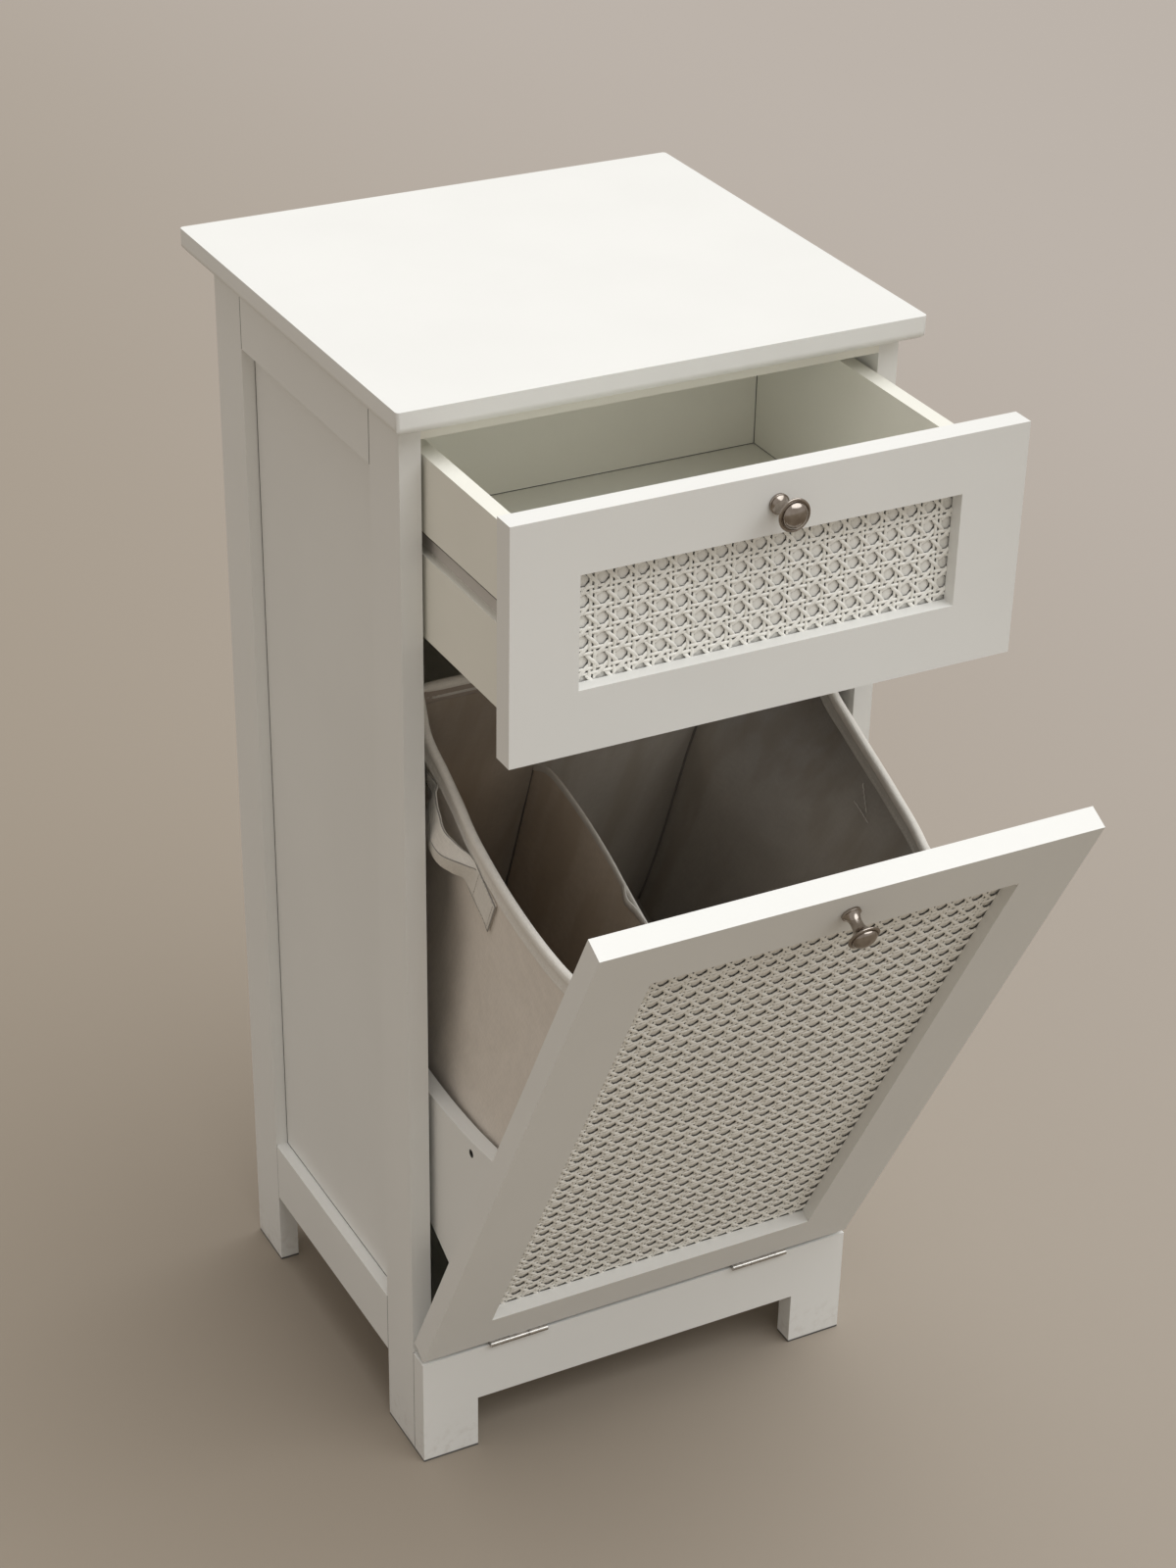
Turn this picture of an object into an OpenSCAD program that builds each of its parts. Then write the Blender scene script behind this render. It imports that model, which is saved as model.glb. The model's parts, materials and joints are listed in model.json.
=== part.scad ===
/* [Overall] */
// Height from the floor to the top surface
total_h = 900; // [860:1:960]
// Width of the carcass, outside the side frames
body_w = 386; // [376:1:440]
// Depth of the carcass, from the front of the posts to their backs
body_d = 322; // [322:1:380]
// Front plane of the carcass; the origin is under the middle of the opened cabinet
front_y = -28; // [-60:1:0]

/* [Top board] */
// Thickness of the top board
top_t = 18; // [15:1:25]
// Overhang at each side
top_side_over = 10; // [0:1:20]
// Overhang in front of the posts, which covers the fronts
top_front_over = 19; // [18:1:30]
// Overhang behind the back posts, which clears a skirting board
top_back_over = 40; // [0:1:50]
// Radius of the board's upright corners
top_corner_r = 3; // [2:0.5:6]
// Radius of the rounded lower edge
top_edge_r = 7; // [3:0.5:10]

/* [Side frames] */
// Thickness of the posts and rails
frame_t = 16; // [15:0.5:20]
// Width of a post, seen from the side
post_w = 48; // [40:1:56]
// Height of the upper side rail
top_rail_h = 46; // [36:1:70]
// Height of the lower side rail
bottom_rail_h = 54; // [40:1:70]
// Underside of the lower side rail, above the floor
rail_z = 68; // [55:1:80]
// Thickness of the side panel
panel_t = 5; // [4:0.5:6]
// How far the panel lies behind the frame's outer face
panel_recess = 10; // [5:0.5:10]
// Depth of the groove that holds the panel
groove_d = 6; // [4:0.5:8]
// Play of a panel in its groove, on each face
panel_play = 0.1; // [0.05:0.05:0.3]

/* [Carcass inside] */
// Thickness of the two stretchers and the bottom board
board_t = 12; // [10:1:15]
// Width of a stretcher, front to back
stretcher_w = 40; // [30:1:60]
// Thickness of the back panel
back_t = 3; // [2:0.5:4]
// How far the back panel lies in from the back of the posts
back_inset = 2; // [0:0.5:5]

/* [Base board] */
// Height of the base board
base_h = 100; // [90:1:120]
// Width of each foot of the base board
foot_w = 48; // [40:1:60]
// Height of the cut between the feet
foot_h = 49; // [35:1:60]

/* [Fronts] */
// Thickness of the base board, the door and the drawer front
front_t = 18; // [16:1:20]
// Gap between the base board and the door, which the hinge leaves fill
hinge_gap = 3; // [2.8:0.1:4]
// Gap between the door and the drawer front
front_gap = 7; // [3:0.5:10]
// Gap between the drawer front and the top board
top_gap = 3; // [2:0.5:5]
// Height of the drawer front
drawer_front_h = 171; // [160:1:185]
// Width of the frame beside both windows
frame_side = 50; // [44:1:60]
// Height of the frame above the drawer's window
drawer_frame_top = 43; // [38:1:50]
// Height of the frame below the drawer's window
drawer_frame_bottom = 46; // [38:1:50]
// Height of the frame above the door's window
door_frame_top = 49; // [44:1:60]
// Height of the frame below the door's window
door_frame_bottom = 44; // [38:1:60]
// How far the cane lies behind the front face
cane_recess = 11.5; // [8:0.5:12]
// Thickness of the cane webbing
cane_t = 1.5; // [1:0.1:2]
// Width of the ledge that the cane is held against
cane_ledge = 8; // [5:1:12]
// Play of the cane and its backing in the rebate, on each side
cane_play = 0.2; // [0.1:0.1:0.5]

/* [Drawer] */
// How far the drawer is pulled out
drawer_out = 146; // [0:1:220]
// Length of the drawer's sides
drawer_l = 296; // [280:1:300]
// Thickness of the drawer's sides and back
drawer_t = 12; // [11:0.5:14]
// Gap between the drawer's sides and the posts
drawer_gap = 3; // [2:0.5:5]
// Height of the drawer's sides
drawer_side_h = 135; // [120:1:140]
// Lower edge of the drawer's sides, above the lower edge of the front
drawer_side_up = 14; // [8:1:20]
// Thickness of the drawer's bottom
drawer_bottom_t = 4; // [3:0.5:5]
// Underside of the drawer's bottom, above the lower edge of the sides
drawer_bottom_up = 24; // [12:1:28]
// Height of the groove that runs on the runner
slide_groove_h = 16; // [12:1:18]
// Depth of the groove that runs on the runner
slide_groove_d = 6; // [4:0.5:7]
// Lower edge of that groove, above the lower edge of the sides
slide_groove_up = 62; // [50:1:70]
// Height of the runner and of the stop rail
runner_h = 14.5; // [11:0.5:15]
// Distance of the runner's front end from the front of the posts
runner_front = 20; // [14:1:22]
// Distance of the runner's back end from the back panel
runner_back = 12; // [4:1:18]
// Gap between the runner and the groove's top and depth
runner_play = 0.3; // [0.2:0.1:0.6]

/* [Door] */
// How far the door is tilted open, in degrees
door_open = 27.3; // [0:0.1:30]

/* [Hinges] */
// Distance of each hinge's middle from the middle of the door
hinge_x = 110; // [90:1:120]
// Length of a hinge
hinge_l = 50; // [40:1:60]
// Thickness of a leaf
leaf_t = 1.2; // [1:0.1:1.3]
// Depth of a leaf, behind the hinge axis
leaf_d = 16; // [14:0.5:18]
// Radius of the barrel
barrel_r = 2.4; // [2:0.1:2.5]
// How far the hinge axis stands in front of the fronts
barrel_out = 2; // [1.8:0.1:3]
// Radius of the hinge pin
pin_r = 1; // [0.8:0.1:1.2]
// Running clearance of the pin in the door's knuckle, on the radius
pin_play = 0.05; // [0.02:0.01:0.1]
// Gap between the knuckles, and between a knuckle and the other leaf
knuckle_gap = 0.3; // [0.2:0.05:0.5]

/* [Knobs] */
// Radius of the knob's rosette
knob_base_r = 7.2; // [6:0.1:9]
// Height of the knob's rosette
knob_base_h = 2.2; // [1.5:0.1:3]
// Radius of the knob's neck
knob_neck_r = 4.2; // [3.5:0.1:5]
// Height of the narrowest place of the neck
knob_neck_h = 8; // [6:0.5:11]
// Radius of the knob's head
knob_head_r = 11.8; // [10:0.1:16]
// Height of the rim of the knob's head
knob_rim_h = 21; // [18:0.5:26]
// Height of the dome above the rim
knob_dome_h = 5; // [3:0.5:7]
// Width of the ring round the dome
knob_ring_w = 1.4; // [1:0.1:2]
// Rounding of the knob's edges
knob_lip = 0.8; // [0.4:0.1:0.9]

/* [Tray] */
// Thickness of the cheeks and of the tray's back
cheek_t = 12; // [10:0.5:14]
// Gap between the cheeks and the posts
cheek_gap = 5; // [4:0.5:8]
// Underside of the tray, above the lower edge of the door
tray_up = 86; // [80:1:100]
// Thickness of the tray's floor
tray_floor_t = 9; // [6:1:12]
// Depth of the tray's floor, behind the door
tray_d = 282; // [260:1:290]
// Height of a cheek where it meets the door
cheek_front_h = 182; // [150:1:200]
// Height of a cheek and of the tray's back at the rear
cheek_back_h = 64; // [50:1:90]
// How far the cheek's curved top sags below a straight line
cheek_sag = 26; // [10:1:40]
// Distance of the small hole in a cheek from the door
cheek_hole_d = 46; // [30:1:60]
// Height of the small hole above the tray's underside
cheek_hole_up = 134; // [110:1:140]
// Radius of the small hole
cheek_hole_r = 2; // [1:0.25:3]

/* [Laundry bag] */
// Thickness of the padded fabric wall
cloth_t = 2.5; // [2:0.25:4]
// Gap between the bag and a cheek
bag_side_gap = 2; // [1:0.5:6]
// Gap between the bag and the door, which the fastening strip fills
bag_front_gap = 2.5; // [2:0.25:5]
// Gap between the bag and what it stands on or against
bag_gap = 0.3; // [0.2:0.1:1]
// How far the rim at the door lies below the top of the door
rim_front_drop = 101; // [60:1:140]
// How far the rim at its lowest lies below the top of the door
rim_dip_drop = 171; // [150:1:200]
// How far the rim at the back lies below the top of the door
rim_back_drop = 112; // [100:1:145]
// Distance of the lowest point behind the door's front face
rim_dip_d = 235; // [180:1:250]
// Height of the sewn binding along the rim
binding_h = 5; // [3:0.5:8]
// How far the binding stands out on each side of the wall
binding_out = 1.2; // [0.5:0.1:2]
// Distance of the divider from the middle, towards the left
divider_x = 30; // [0:1:60]
// How far the divider at the door lies below the top of the door
divider_front_drop = 206; // [180:1:240]
// How far the divider in the middle lies below the top of the door
divider_mid_drop = 223; // [205:1:260]
// How far the divider at the back lies below the top of the door
divider_back_drop = 246; // [220:1:300]
// Width of the carrying straps
strap_w = 32; // [24:1:36]
// Thickness of the carrying straps
strap_t = 3; // [2:0.5:4]
// How far a strap's upper edge lies below the top of the door
strap_drop = 179; // [177:1:200]
// Distance of a strap's front end from the door's front face
strap_front_d = 152; // [120:1:160]
// Distance of a strap's back end from the door's front face
strap_back_d = 272; // [250:1:274]
// Length of a strap's sewn ends
strap_sewn = 32; // [20:1:40]
// How far a strap's slack middle stands off the bag's side
strap_slack = 9; // [3:1:10]
// Height of the fastening strip behind the door
strip_h = 20; // [15:1:30]
// Distance of the fastening strip from the bag's sides
strip_side_gap = 18; // [5:1:40]
// Distance of the fastening strip from the bag's rim
strip_rim_gap = 3; // [1:1:10]

/* [Fixings] */
// Radius of the wood dowels
dowel_r = 3; // [2.5:0.5:3.5]
// Depth of a dowel in the piece that it enters crosswise
dowel_in = 8; // [6:0.5:9]
// Depth of a dowel in the end of the other board
dowel_end = 12; // [10:1:20]
// Distance of a stretcher's dowels from its edges
dowel_edge = 12; // [8:1:14]
// Height of the drawer's lower dowels, above the lower edge of the sides
drawer_dowel_low = 43; // [35:1:50]
// Height of the drawer's upper dowels, above the lower edge of the sides
drawer_dowel_high = 103; // [90:1:110]
// Height of the cheeks' lower dowels, above the tray's underside
cheek_dowel_low = 24; // [18:1:40]
// Height of the cheeks' upper dowels, above the tray's underside
cheek_dowel_high = 130; // [100:1:140]
// Radius of the wood screws
screw_r = 1.7; // [1.5:0.1:2]
// Radius of a wood screw's head
screw_head_r = 3.3; // [3:0.1:3.6]
// Depth that a wood screw reaches into the second board
screw_in = 10; // [8:0.5:12]
// Distance of the top board's screws from the posts
top_screw_side = 77; // [50:1:100]
// Height of the drawer's lower back screws, above the lower edge of the sides
drawer_screw_low = 48; // [38:1:55]
// Height of the drawer's upper back screws, above the lower edge of the sides
drawer_screw_high = 108; // [85:1:115]
// Distance of the front tray screws from the door
tray_screw_front = 99; // [60:1:110]
// Distance of the back tray screws from the door
tray_screw_back = 226; // [180:1:240]
// Radius of the hinge screws
hinge_screw_r = 1.3; // [1:0.1:1.5]
// Radius of a hinge screw's head
hinge_screw_head_r = 2.5; // [2:0.1:3]
// Length of a hinge screw's shank in the wood
hinge_screw_l = 12; // [10:1:16]
// Radius of the screw that holds a knob
knob_screw_r = 2; // [1.5:0.1:2.5]
// Depth of that screw in the knob
knob_screw_in = 8; // [6:0.5:12]
// Gap between the open cheeks' back corners and the stop rails
stop_gap = 0.3; // [0.2:0.1:1]
// Radius of the back panel's pins
nail_r = 0.8; // [0.6:0.1:1.2]
// Distance between the back panel's pins
pin_step = 80; // [60:1:120]

/* [Hidden] */
$fn = 48;
// How far a cutter passes a face
cut = 1;
frame_h = total_h - top_t;
side_in = body_w / 2 - frame_t;
panel_x = body_w / 2 - panel_recess - panel_t;
back_y = body_d - back_inset - back_t;
rail_l = body_d - 2 * post_w;
bottom_rail_top = rail_z + bottom_rail_h;
top_rail_z = frame_h - top_rail_h;

// The fronts
door_z = base_h + hinge_gap;
drawer_front_z = frame_h - top_gap - drawer_front_h;
door_h = drawer_front_z - front_gap - door_z;
window_x = body_w / 2 - frame_side;
backing_t = front_t - cane_recess - cane_t;

// The drawer
drawer_x = side_in - drawer_gap;
drawer_in_x = drawer_x - drawer_t;
drawer_side_z = drawer_front_z + drawer_side_up;
drawer_bottom_z = drawer_side_z + drawer_bottom_up;
slide_z = drawer_side_z + slide_groove_up;
runner_t = drawer_gap + slide_groove_d - runner_play;
runner_z = slide_z + slide_groove_h - runner_play - runner_h;
bottom_groove_d = drawer_t - slide_groove_d - cut;
runner_l = back_y - runner_front - runner_back;

// The hinge axis, from the carcass front plane and the floor
axis_y = -front_t - barrel_out;
axis_z = base_h + hinge_gap / 2;
knuckle_l = (hinge_l - 2 * knuckle_gap) / 3;
hinge_screw_x = 14;
hinge_screw_y = leaf_d * 0.6;

// Step of the knob's curves, as a share of each curve
knob_step = 0.125;

// The tray and its cheeks, in the door's own places
cheek_out = side_in - cheek_gap;
cheek_in = cheek_out - cheek_t;
tray_end = front_t + tray_d;
cheek_end = tray_end + cheek_t;
tray_top = tray_up + tray_floor_t;
arc_a = [front_t, tray_up + cheek_front_h];
arc_b = [cheek_end, tray_up + cheek_back_h];
chord = norm(arc_b - arc_a);
arc_r = chord * chord / (8 * cheek_sag) + cheek_sag / 2;
chord_dir = (arc_b - arc_a) / chord;
arc_up = [-chord_dir[1], chord_dir[0]];
arc_c = (arc_a + arc_b) / 2 + arc_up * (arc_r - cheek_sag);

// The stop rails lie on the highest corners of the opened cheeks
open_corner_z = axis_z + (cheek_end + barrel_out) * sin(door_open)
    + (tray_up + cheek_back_h + hinge_gap / 2) * cos(door_open);
stop_rail_z = open_corner_z + stop_gap;

// The bag, in the door's own places
bag_x = cheek_in - bag_side_gap;
bag_front = front_t + bag_front_gap;
bag_back = tray_end - bag_gap;
bag_floor = tray_top + bag_gap;
rim_front_h = door_h - rim_front_drop;
rim_dip_h = door_h - rim_dip_drop;
rim_back_h = door_h - rim_back_drop;
rim_steps = 20;
strap_top = door_h - strap_drop;
strap_steps = 24;
strip_x = bag_x - strip_side_gap;
strip_z = rim_front_h - strip_h - strip_rim_gap;

// The places of the fixings
stretcher_dowels = [dowel_edge, stretcher_w - dowel_edge];
board_dowels = [post_w / 2, body_d / 2, body_d - post_w / 2];
top_screw_x = side_in - top_screw_side;
rail_screws_y = [(runner_front + post_w - groove_d) / 2, body_d - post_w / 2];
tray_screws_d = [front_t + tray_screw_front, front_t + tray_screw_back];
cheek_dowels_u = [tray_up + cheek_dowel_low, tray_up + cheek_dowel_high];
side_dowels_up = [drawer_dowel_low, drawer_dowel_high];
side_screws_up = [drawer_screw_low, drawer_screw_high];

paint = "#ECECE6";
paint_inside = "#E4E4DC";
hardboard = "#D8D6CC";
cane = "#DDDBD2";
nickel = "#8A8178";
steel = "#B9B9B9";
cloth = "#AFA79E";
binding = "#C4BCB2";
beech = "#D9B98A";

// Places and turns

module in_carcass() {
    translate([0, front_y, 0])
        children();
}

module in_drawer() {
    translate([0, front_y - drawer_out, 0])
        children();
}

// The door's own places are x, the depth behind its front face and the height above its lower edge
module on_door() {
    translate([0, front_y + axis_y, axis_z])
        rotate([door_open, 0, 0])
            translate([0, barrel_out, hinge_gap / 2])
                children();
}

// Draws a right-hand piece, or its mirror image for side -1
module on_side(side) {
    if (side < 0)
        mirror([1, 0, 0])
            children();
    else
        children();
}

module both_sides() {
    for (side = [-1, 1])
        on_side(side)
            children();
}

// A round rod along x from x0 to x1
module rod_x(x0, x1, r) {
    translate([x0, 0, 0])
        rotate([0, 90, 0])
            cylinder(h = x1 - x0, r = r);
}

// A round rod along y from y0 to y1
module rod_y(y0, y1, r) {
    translate([0, y1, 0])
        rotate([90, 0, 0])
            cylinder(h = y1 - y0, r = r);
}

// A countersunk screw that points up, with the flat of its head at z = 0
module screw(r, head_r, length) {
    rotate_extrude()
        polygon([[0, 0], [head_r, 0], [r, head_r - r], [r, length], [0, length]]);
}

// The same screw along x, driven outwards, with its head at x = 0
module screw_x(length) {
    rotate([0, 90, 0])
        screw(screw_r, screw_head_r, length);
}

// An outline of depths and heights, drawn as a plate from x0 to x1
module plate_x(x0, x1) {
    translate([x0, 0, 0])
        rotate([90, 0, 90])
            linear_extrude(x1 - x0)
                children();
}

// Top board

module rounded_outline(w, d, r) {
    translate([-w / 2 + r, 0])
        square([w - 2 * r, d]);
    translate([-w / 2, r])
        square([w, d - 2 * r]);
    for (x = [-w / 2 + r, w / 2 - r], y = [r, d - r])
        translate([x, y])
            circle(r);
}

// A bar that cuts a lower edge along x to a round of radius r
module edge_cutter(l, r) {
    difference() {
        translate([-l / 2, -cut, -cut])
            cube([l, r + cut, r + cut]);
        translate([0, r, r])
            rod_x(-l / 2 - cut, l / 2 + cut, r);
    }
}

module top_board() {
    w = body_w + 2 * top_side_over;
    d = top_front_over + body_d + top_back_over;
    reach = 2 * (w + d);
    color(paint)
        in_carcass()
            translate([0, -top_front_over, frame_h])
                difference() {
                    linear_extrude(top_t)
                        rounded_outline(w, d, top_corner_r);
                    edge_cutter(reach, top_edge_r);
                    translate([0, d, 0])
                        rotate([0, 0, 180])
                            edge_cutter(reach, top_edge_r);
                    both_sides()
                        translate([w / 2, d / 2, 0])
                            rotate([0, 0, 90])
                                edge_cutter(reach, top_edge_r);
                    translate([0, top_front_over, 0])
                        top_screw_places()
                            translate([0, 0, -cut])
                                cylinder(h = screw_in + cut, r = screw_r);
                }
}

module top_screw_places() {
    for (x = [-top_screw_x, top_screw_x], y = [stretcher_w / 2, back_y - stretcher_w / 2])
        translate([x, y, 0])
            children();
}

// Side frames, drawn for the right-hand side

module panel_groove(y, l) {
    translate([panel_x - panel_play, y, rail_z])
        cube([panel_t + 2 * panel_play, l, frame_h - rail_z + cut]);
}

module dowel_holes(y_places, z) {
    for (y = y_places)
        translate([0, y, z])
            rod_x(side_in - cut, side_in + dowel_in, dowel_r);
}

module rail_screw_holes(y) {
    for (z = [runner_z, stop_rail_z])
        translate([0, y, z + runner_h / 2])
            rod_x(side_in - cut, side_in + screw_in, screw_r);
}

module front_post() {
    difference() {
        translate([side_in, 0, 0])
            cube([frame_t, post_w, frame_h]);
        panel_groove(post_w - groove_d, groove_d + cut);
        dowel_holes(stretcher_dowels, frame_h - board_t / 2);
        dowel_holes([board_dowels[0]], rail_z + board_t / 2);
        rail_screw_holes(rail_screws_y[0]);
    }
}

module back_post() {
    difference() {
        translate([side_in, body_d - post_w, 0])
            cube([frame_t, post_w, frame_h]);
        panel_groove(body_d - post_w - cut, groove_d + cut);
        dowel_holes([for (y = stretcher_dowels) back_y - y], frame_h - board_t / 2);
        dowel_holes([board_dowels[2]], rail_z + board_t / 2);
        rail_screw_holes(rail_screws_y[1]);
    }
}

// A rail's stub tenon, which fills the post's groove between z0 and z1
module stub_tenons(z0, z1) {
    tenon = groove_d - panel_play;
    for (y = [post_w - tenon, body_d - post_w])
        translate([panel_x, y, z0])
            cube([panel_t, tenon, z1 - z0]);
}

module rail_groove(z) {
    translate([panel_x - panel_play, post_w - cut, z])
        cube([panel_t + 2 * panel_play, rail_l + 2 * cut, groove_d + cut]);
}

module top_rail() {
    difference() {
        translate([side_in, post_w, top_rail_z])
            cube([frame_t, rail_l, top_rail_h]);
        rail_groove(top_rail_z - cut);
    }
    stub_tenons(top_rail_z + groove_d, frame_h);
}

module bottom_rail() {
    difference() {
        translate([side_in, post_w, rail_z])
            cube([frame_t, rail_l, bottom_rail_h]);
        rail_groove(bottom_rail_top - groove_d);
        dowel_holes([board_dowels[1]], rail_z + board_t / 2);
    }
    stub_tenons(rail_z, bottom_rail_top - groove_d);
}

module side_panel() {
    hold = groove_d - panel_play;
    translate([panel_x, post_w - hold, bottom_rail_top - hold])
        cube([panel_t, rail_l + 2 * hold, top_rail_z - bottom_rail_top + 2 * hold]);
}

// A piece of a side frame, in its place and colour
module frame_piece(side) {
    color(paint)
        in_carcass()
            on_side(side)
                children();
}

// Boards of the carcass

module base_board() {
    cut_x = body_w / 2 - foot_w;
    color(paint)
        in_carcass()
            difference() {
                translate([-body_w / 2, -front_t, 0])
                    cube([body_w, front_t, base_h]);
                translate([-cut_x, -front_t - cut, -cut])
                    cube([2 * cut_x, front_t + 2 * cut, foot_h + cut]);
                both_sides()
                    hinge_screw_places()
                        translate([0, 0, base_h - hinge_screw_l])
                            cylinder(h = hinge_screw_l + cut, r = hinge_screw_r);
            }
}

module end_dowel_holes(y_places, z) {
    both_sides()
        for (y = y_places)
            translate([0, y, z])
                rod_x(side_in - dowel_end, side_in + cut, dowel_r);
}

module stretcher(y) {
    color(paint_inside)
        in_carcass()
            difference() {
                translate([-side_in, y, frame_h - board_t])
                    cube([2 * side_in, stretcher_w, board_t]);
                end_dowel_holes([for (s = stretcher_dowels) y + s], frame_h - board_t / 2);
                top_screw_places()
                    translate([0, 0, frame_h - board_t])
                        screw(screw_r, screw_head_r, board_t + cut);
            }
}

module bottom_board() {
    color(paint_inside)
        in_carcass()
            difference() {
                translate([-side_in, 0, rail_z])
                    cube([2 * side_in, back_y, board_t]);
                end_dowel_holes(board_dowels, rail_z + board_t / 2);
            }
}

module back_panel() {
    color(hardboard)
        in_carcass()
            difference() {
                translate([-side_in + panel_play, back_y, rail_z])
                    cube([2 * (side_in - panel_play), back_t, frame_h - rail_z]);
                pin_places()
                    rod_y(-cut, back_t + cut, nail_r);
            }
}

module pin_places() {
    n = floor((side_in - 2 * board_t) / pin_step);
    for (i = [-n : n], z = [rail_z + board_t / 2, frame_h - board_t / 2])
        translate([i * pin_step, back_y, z])
            children();
}

// A batten between the posts, with its two countersunk holes
module batten(side, z) {
    color(paint_inside)
        in_carcass()
            on_side(side)
                difference() {
                    translate([side_in - runner_t, runner_front, z])
                        cube([runner_t, runner_l, runner_h]);
                    for (y = rail_screws_y)
                        translate([side_in - runner_t, y, z + runner_h / 2])
                            screw_x(runner_t + cut);
                }
}

module drawer_runner(side) {
    batten(side, runner_z);
}

module stop_rail(side) {
    batten(side, stop_rail_z);
}

// Fronts with a cane window, drawn with the front face at y = 0 and the lower edge at z = 0

module window_front(h, above, below) {
    difference() {
        translate([-body_w / 2, 0, 0])
            cube([body_w, front_t, h]);
        translate([-window_x, -cut, below])
            cube([2 * window_x, front_t + 2 * cut, h - above - below]);
        translate([-window_x - cane_ledge, cane_recess, below - cane_ledge])
            cube([2 * (window_x + cane_ledge), front_t, h - above - below + 2 * cane_ledge]);
        translate([0, 0, h - above / 2])
            rod_y(-cut, front_t + cut, knob_screw_r);
    }
}

// A sheet that fills the rebate behind a window, from depth y0 on
module window_sheet(h, above, below, y0, t) {
    edge = cane_ledge - cane_play;
    translate([-window_x - edge, y0, below - edge])
        cube([2 * (window_x + edge), t, h - above - below + 2 * edge]);
}

// Drawer

// The drawer front's own places are those of a window front
module on_drawer_front() {
    in_drawer()
        translate([0, -front_t, drawer_front_z])
            children();
}

module drawer_front() {
    color(paint)
        difference() {
            on_drawer_front()
                window_front(drawer_front_h, drawer_frame_top, drawer_frame_bottom);
            in_drawer()
                side_dowel_places()
                    rod_y(-dowel_in, cut, dowel_r);
        }
}

module side_dowel_places() {
    both_sides()
        for (up = side_dowels_up)
            translate([drawer_in_x + drawer_t / 2, 0, drawer_side_z + up])
                children();
}

module side_screw_places() {
    both_sides()
        for (up = side_screws_up)
            translate([drawer_x, drawer_l - drawer_t / 2, drawer_side_z + up])
                rotate([0, 0, 180])
                    children();
}

module drawer_side(side) {
    color(paint_inside)
        in_drawer()
            difference() {
                on_side(side)
                    difference() {
                        translate([drawer_in_x, 0, drawer_side_z])
                            cube([drawer_t, drawer_l, drawer_side_h]);
                        translate([drawer_x - slide_groove_d, -cut, slide_z])
                            cube([slide_groove_d + cut, drawer_l + 2 * cut, slide_groove_h]);
                        translate([drawer_in_x - cut, -cut, drawer_bottom_z - panel_play])
                            cube([
                                bottom_groove_d + cut,
                                drawer_l - drawer_t + bottom_groove_d + cut,
                                drawer_bottom_t + 2 * panel_play
                            ]);
                    }
                side_dowel_places()
                    rod_y(-cut, dowel_end, dowel_r);
                side_screw_places()
                    screw_x(drawer_t + cut);
            }
}

module drawer_back() {
    color(paint_inside)
        in_drawer()
            difference() {
                translate([-drawer_in_x, drawer_l - drawer_t, drawer_side_z])
                    cube([2 * drawer_in_x, drawer_t, drawer_side_h]);
                translate([-drawer_in_x - cut, drawer_l - drawer_t - cut, drawer_bottom_z - panel_play])
                    cube([
                        2 * (drawer_in_x + cut),
                        bottom_groove_d + cut,
                        drawer_bottom_t + 2 * panel_play
                    ]);
                side_screw_places()
                    screw_x(drawer_t + screw_in);
            }
}

module drawer_bottom() {
    hold = bottom_groove_d - panel_play;
    color(paint_inside)
        in_drawer()
            translate([-drawer_in_x - hold, 0, drawer_bottom_z])
                cube([2 * (drawer_in_x + hold), drawer_l - drawer_t + hold, drawer_bottom_t]);
}

// A turned mushroom knob that stands on the plane z = 0, with a blind hole in its foot
module knob() {
    under = knob_rim_h - 2 * knob_lip;
    low_w = knob_base_r - knob_lip - knob_neck_r;
    high_w = knob_head_r - knob_lip - knob_neck_r;
    low_neck = [for (t = [0 : knob_step : 1]) [
        knob_neck_r + low_w * pow(1 - t, 2),
        knob_base_h + (knob_neck_h - knob_base_h) * t
    ]];
    high_neck = [for (t = [knob_step : knob_step : 1]) [
        knob_neck_r + high_w * pow(t, 3),
        knob_neck_h + (under - knob_neck_h) * t
    ]];
    dome = [for (t = [0 : knob_step : 1]) [
        (knob_head_r - knob_ring_w) * cos(90 * t),
        knob_rim_h + knob_dome_h * sin(90 * t)
    ]];
    rotate_extrude()
        polygon(concat(
            [[0, 0], [knob_base_r, 0], [knob_base_r, knob_base_h - knob_lip]],
            low_neck,
            high_neck,
            [
                [knob_head_r, under + knob_lip],
                [knob_head_r, knob_rim_h - knob_lip / 2],
                [knob_head_r - knob_lip, knob_rim_h]
            ],
            dome,
            [[0, knob_screw_in], [knob_screw_r, knob_screw_in], [knob_screw_r, 0]]
        ));
}

// A knob on a front of height h, in the middle of the frame above its window
module front_knob(h, above) {
    color(nickel)
        translate([0, 0, h - above / 2])
            rotate([90, 0, 0])
                knob();
}

// The knob's screw, with a low round head behind the front
module knob_screw(h, above) {
    head_r = 2 * knob_screw_r;
    head_h = knob_screw_r;
    color(steel)
        translate([0, front_t, h - above / 2])
            rotate([-90, 0, 0])
                rotate_extrude()
                    polygon([
                        [0, -front_t - knob_screw_in], [knob_screw_r, -front_t - knob_screw_in],
                        [knob_screw_r, 0], [head_r, 0], [head_r, head_h / 2], [head_r / 2, head_h],
                        [0, head_h]
                    ]);
}

// Door

module door_frame() {
    color(paint)
        on_door()
            difference() {
                window_front(door_h, door_frame_top, door_frame_bottom);
                both_sides()
                    translate([hinge_x, -barrel_out + hinge_screw_y, -cut])
                        for (x = [-hinge_screw_x, hinge_screw_x])
                            translate([x, 0, 0])
                                cylinder(h = hinge_screw_l + cut, r = hinge_screw_r);
                cheek_dowel_places()
                    rod_y(front_t - dowel_in, front_t + cut, dowel_r);
            }
}

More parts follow.
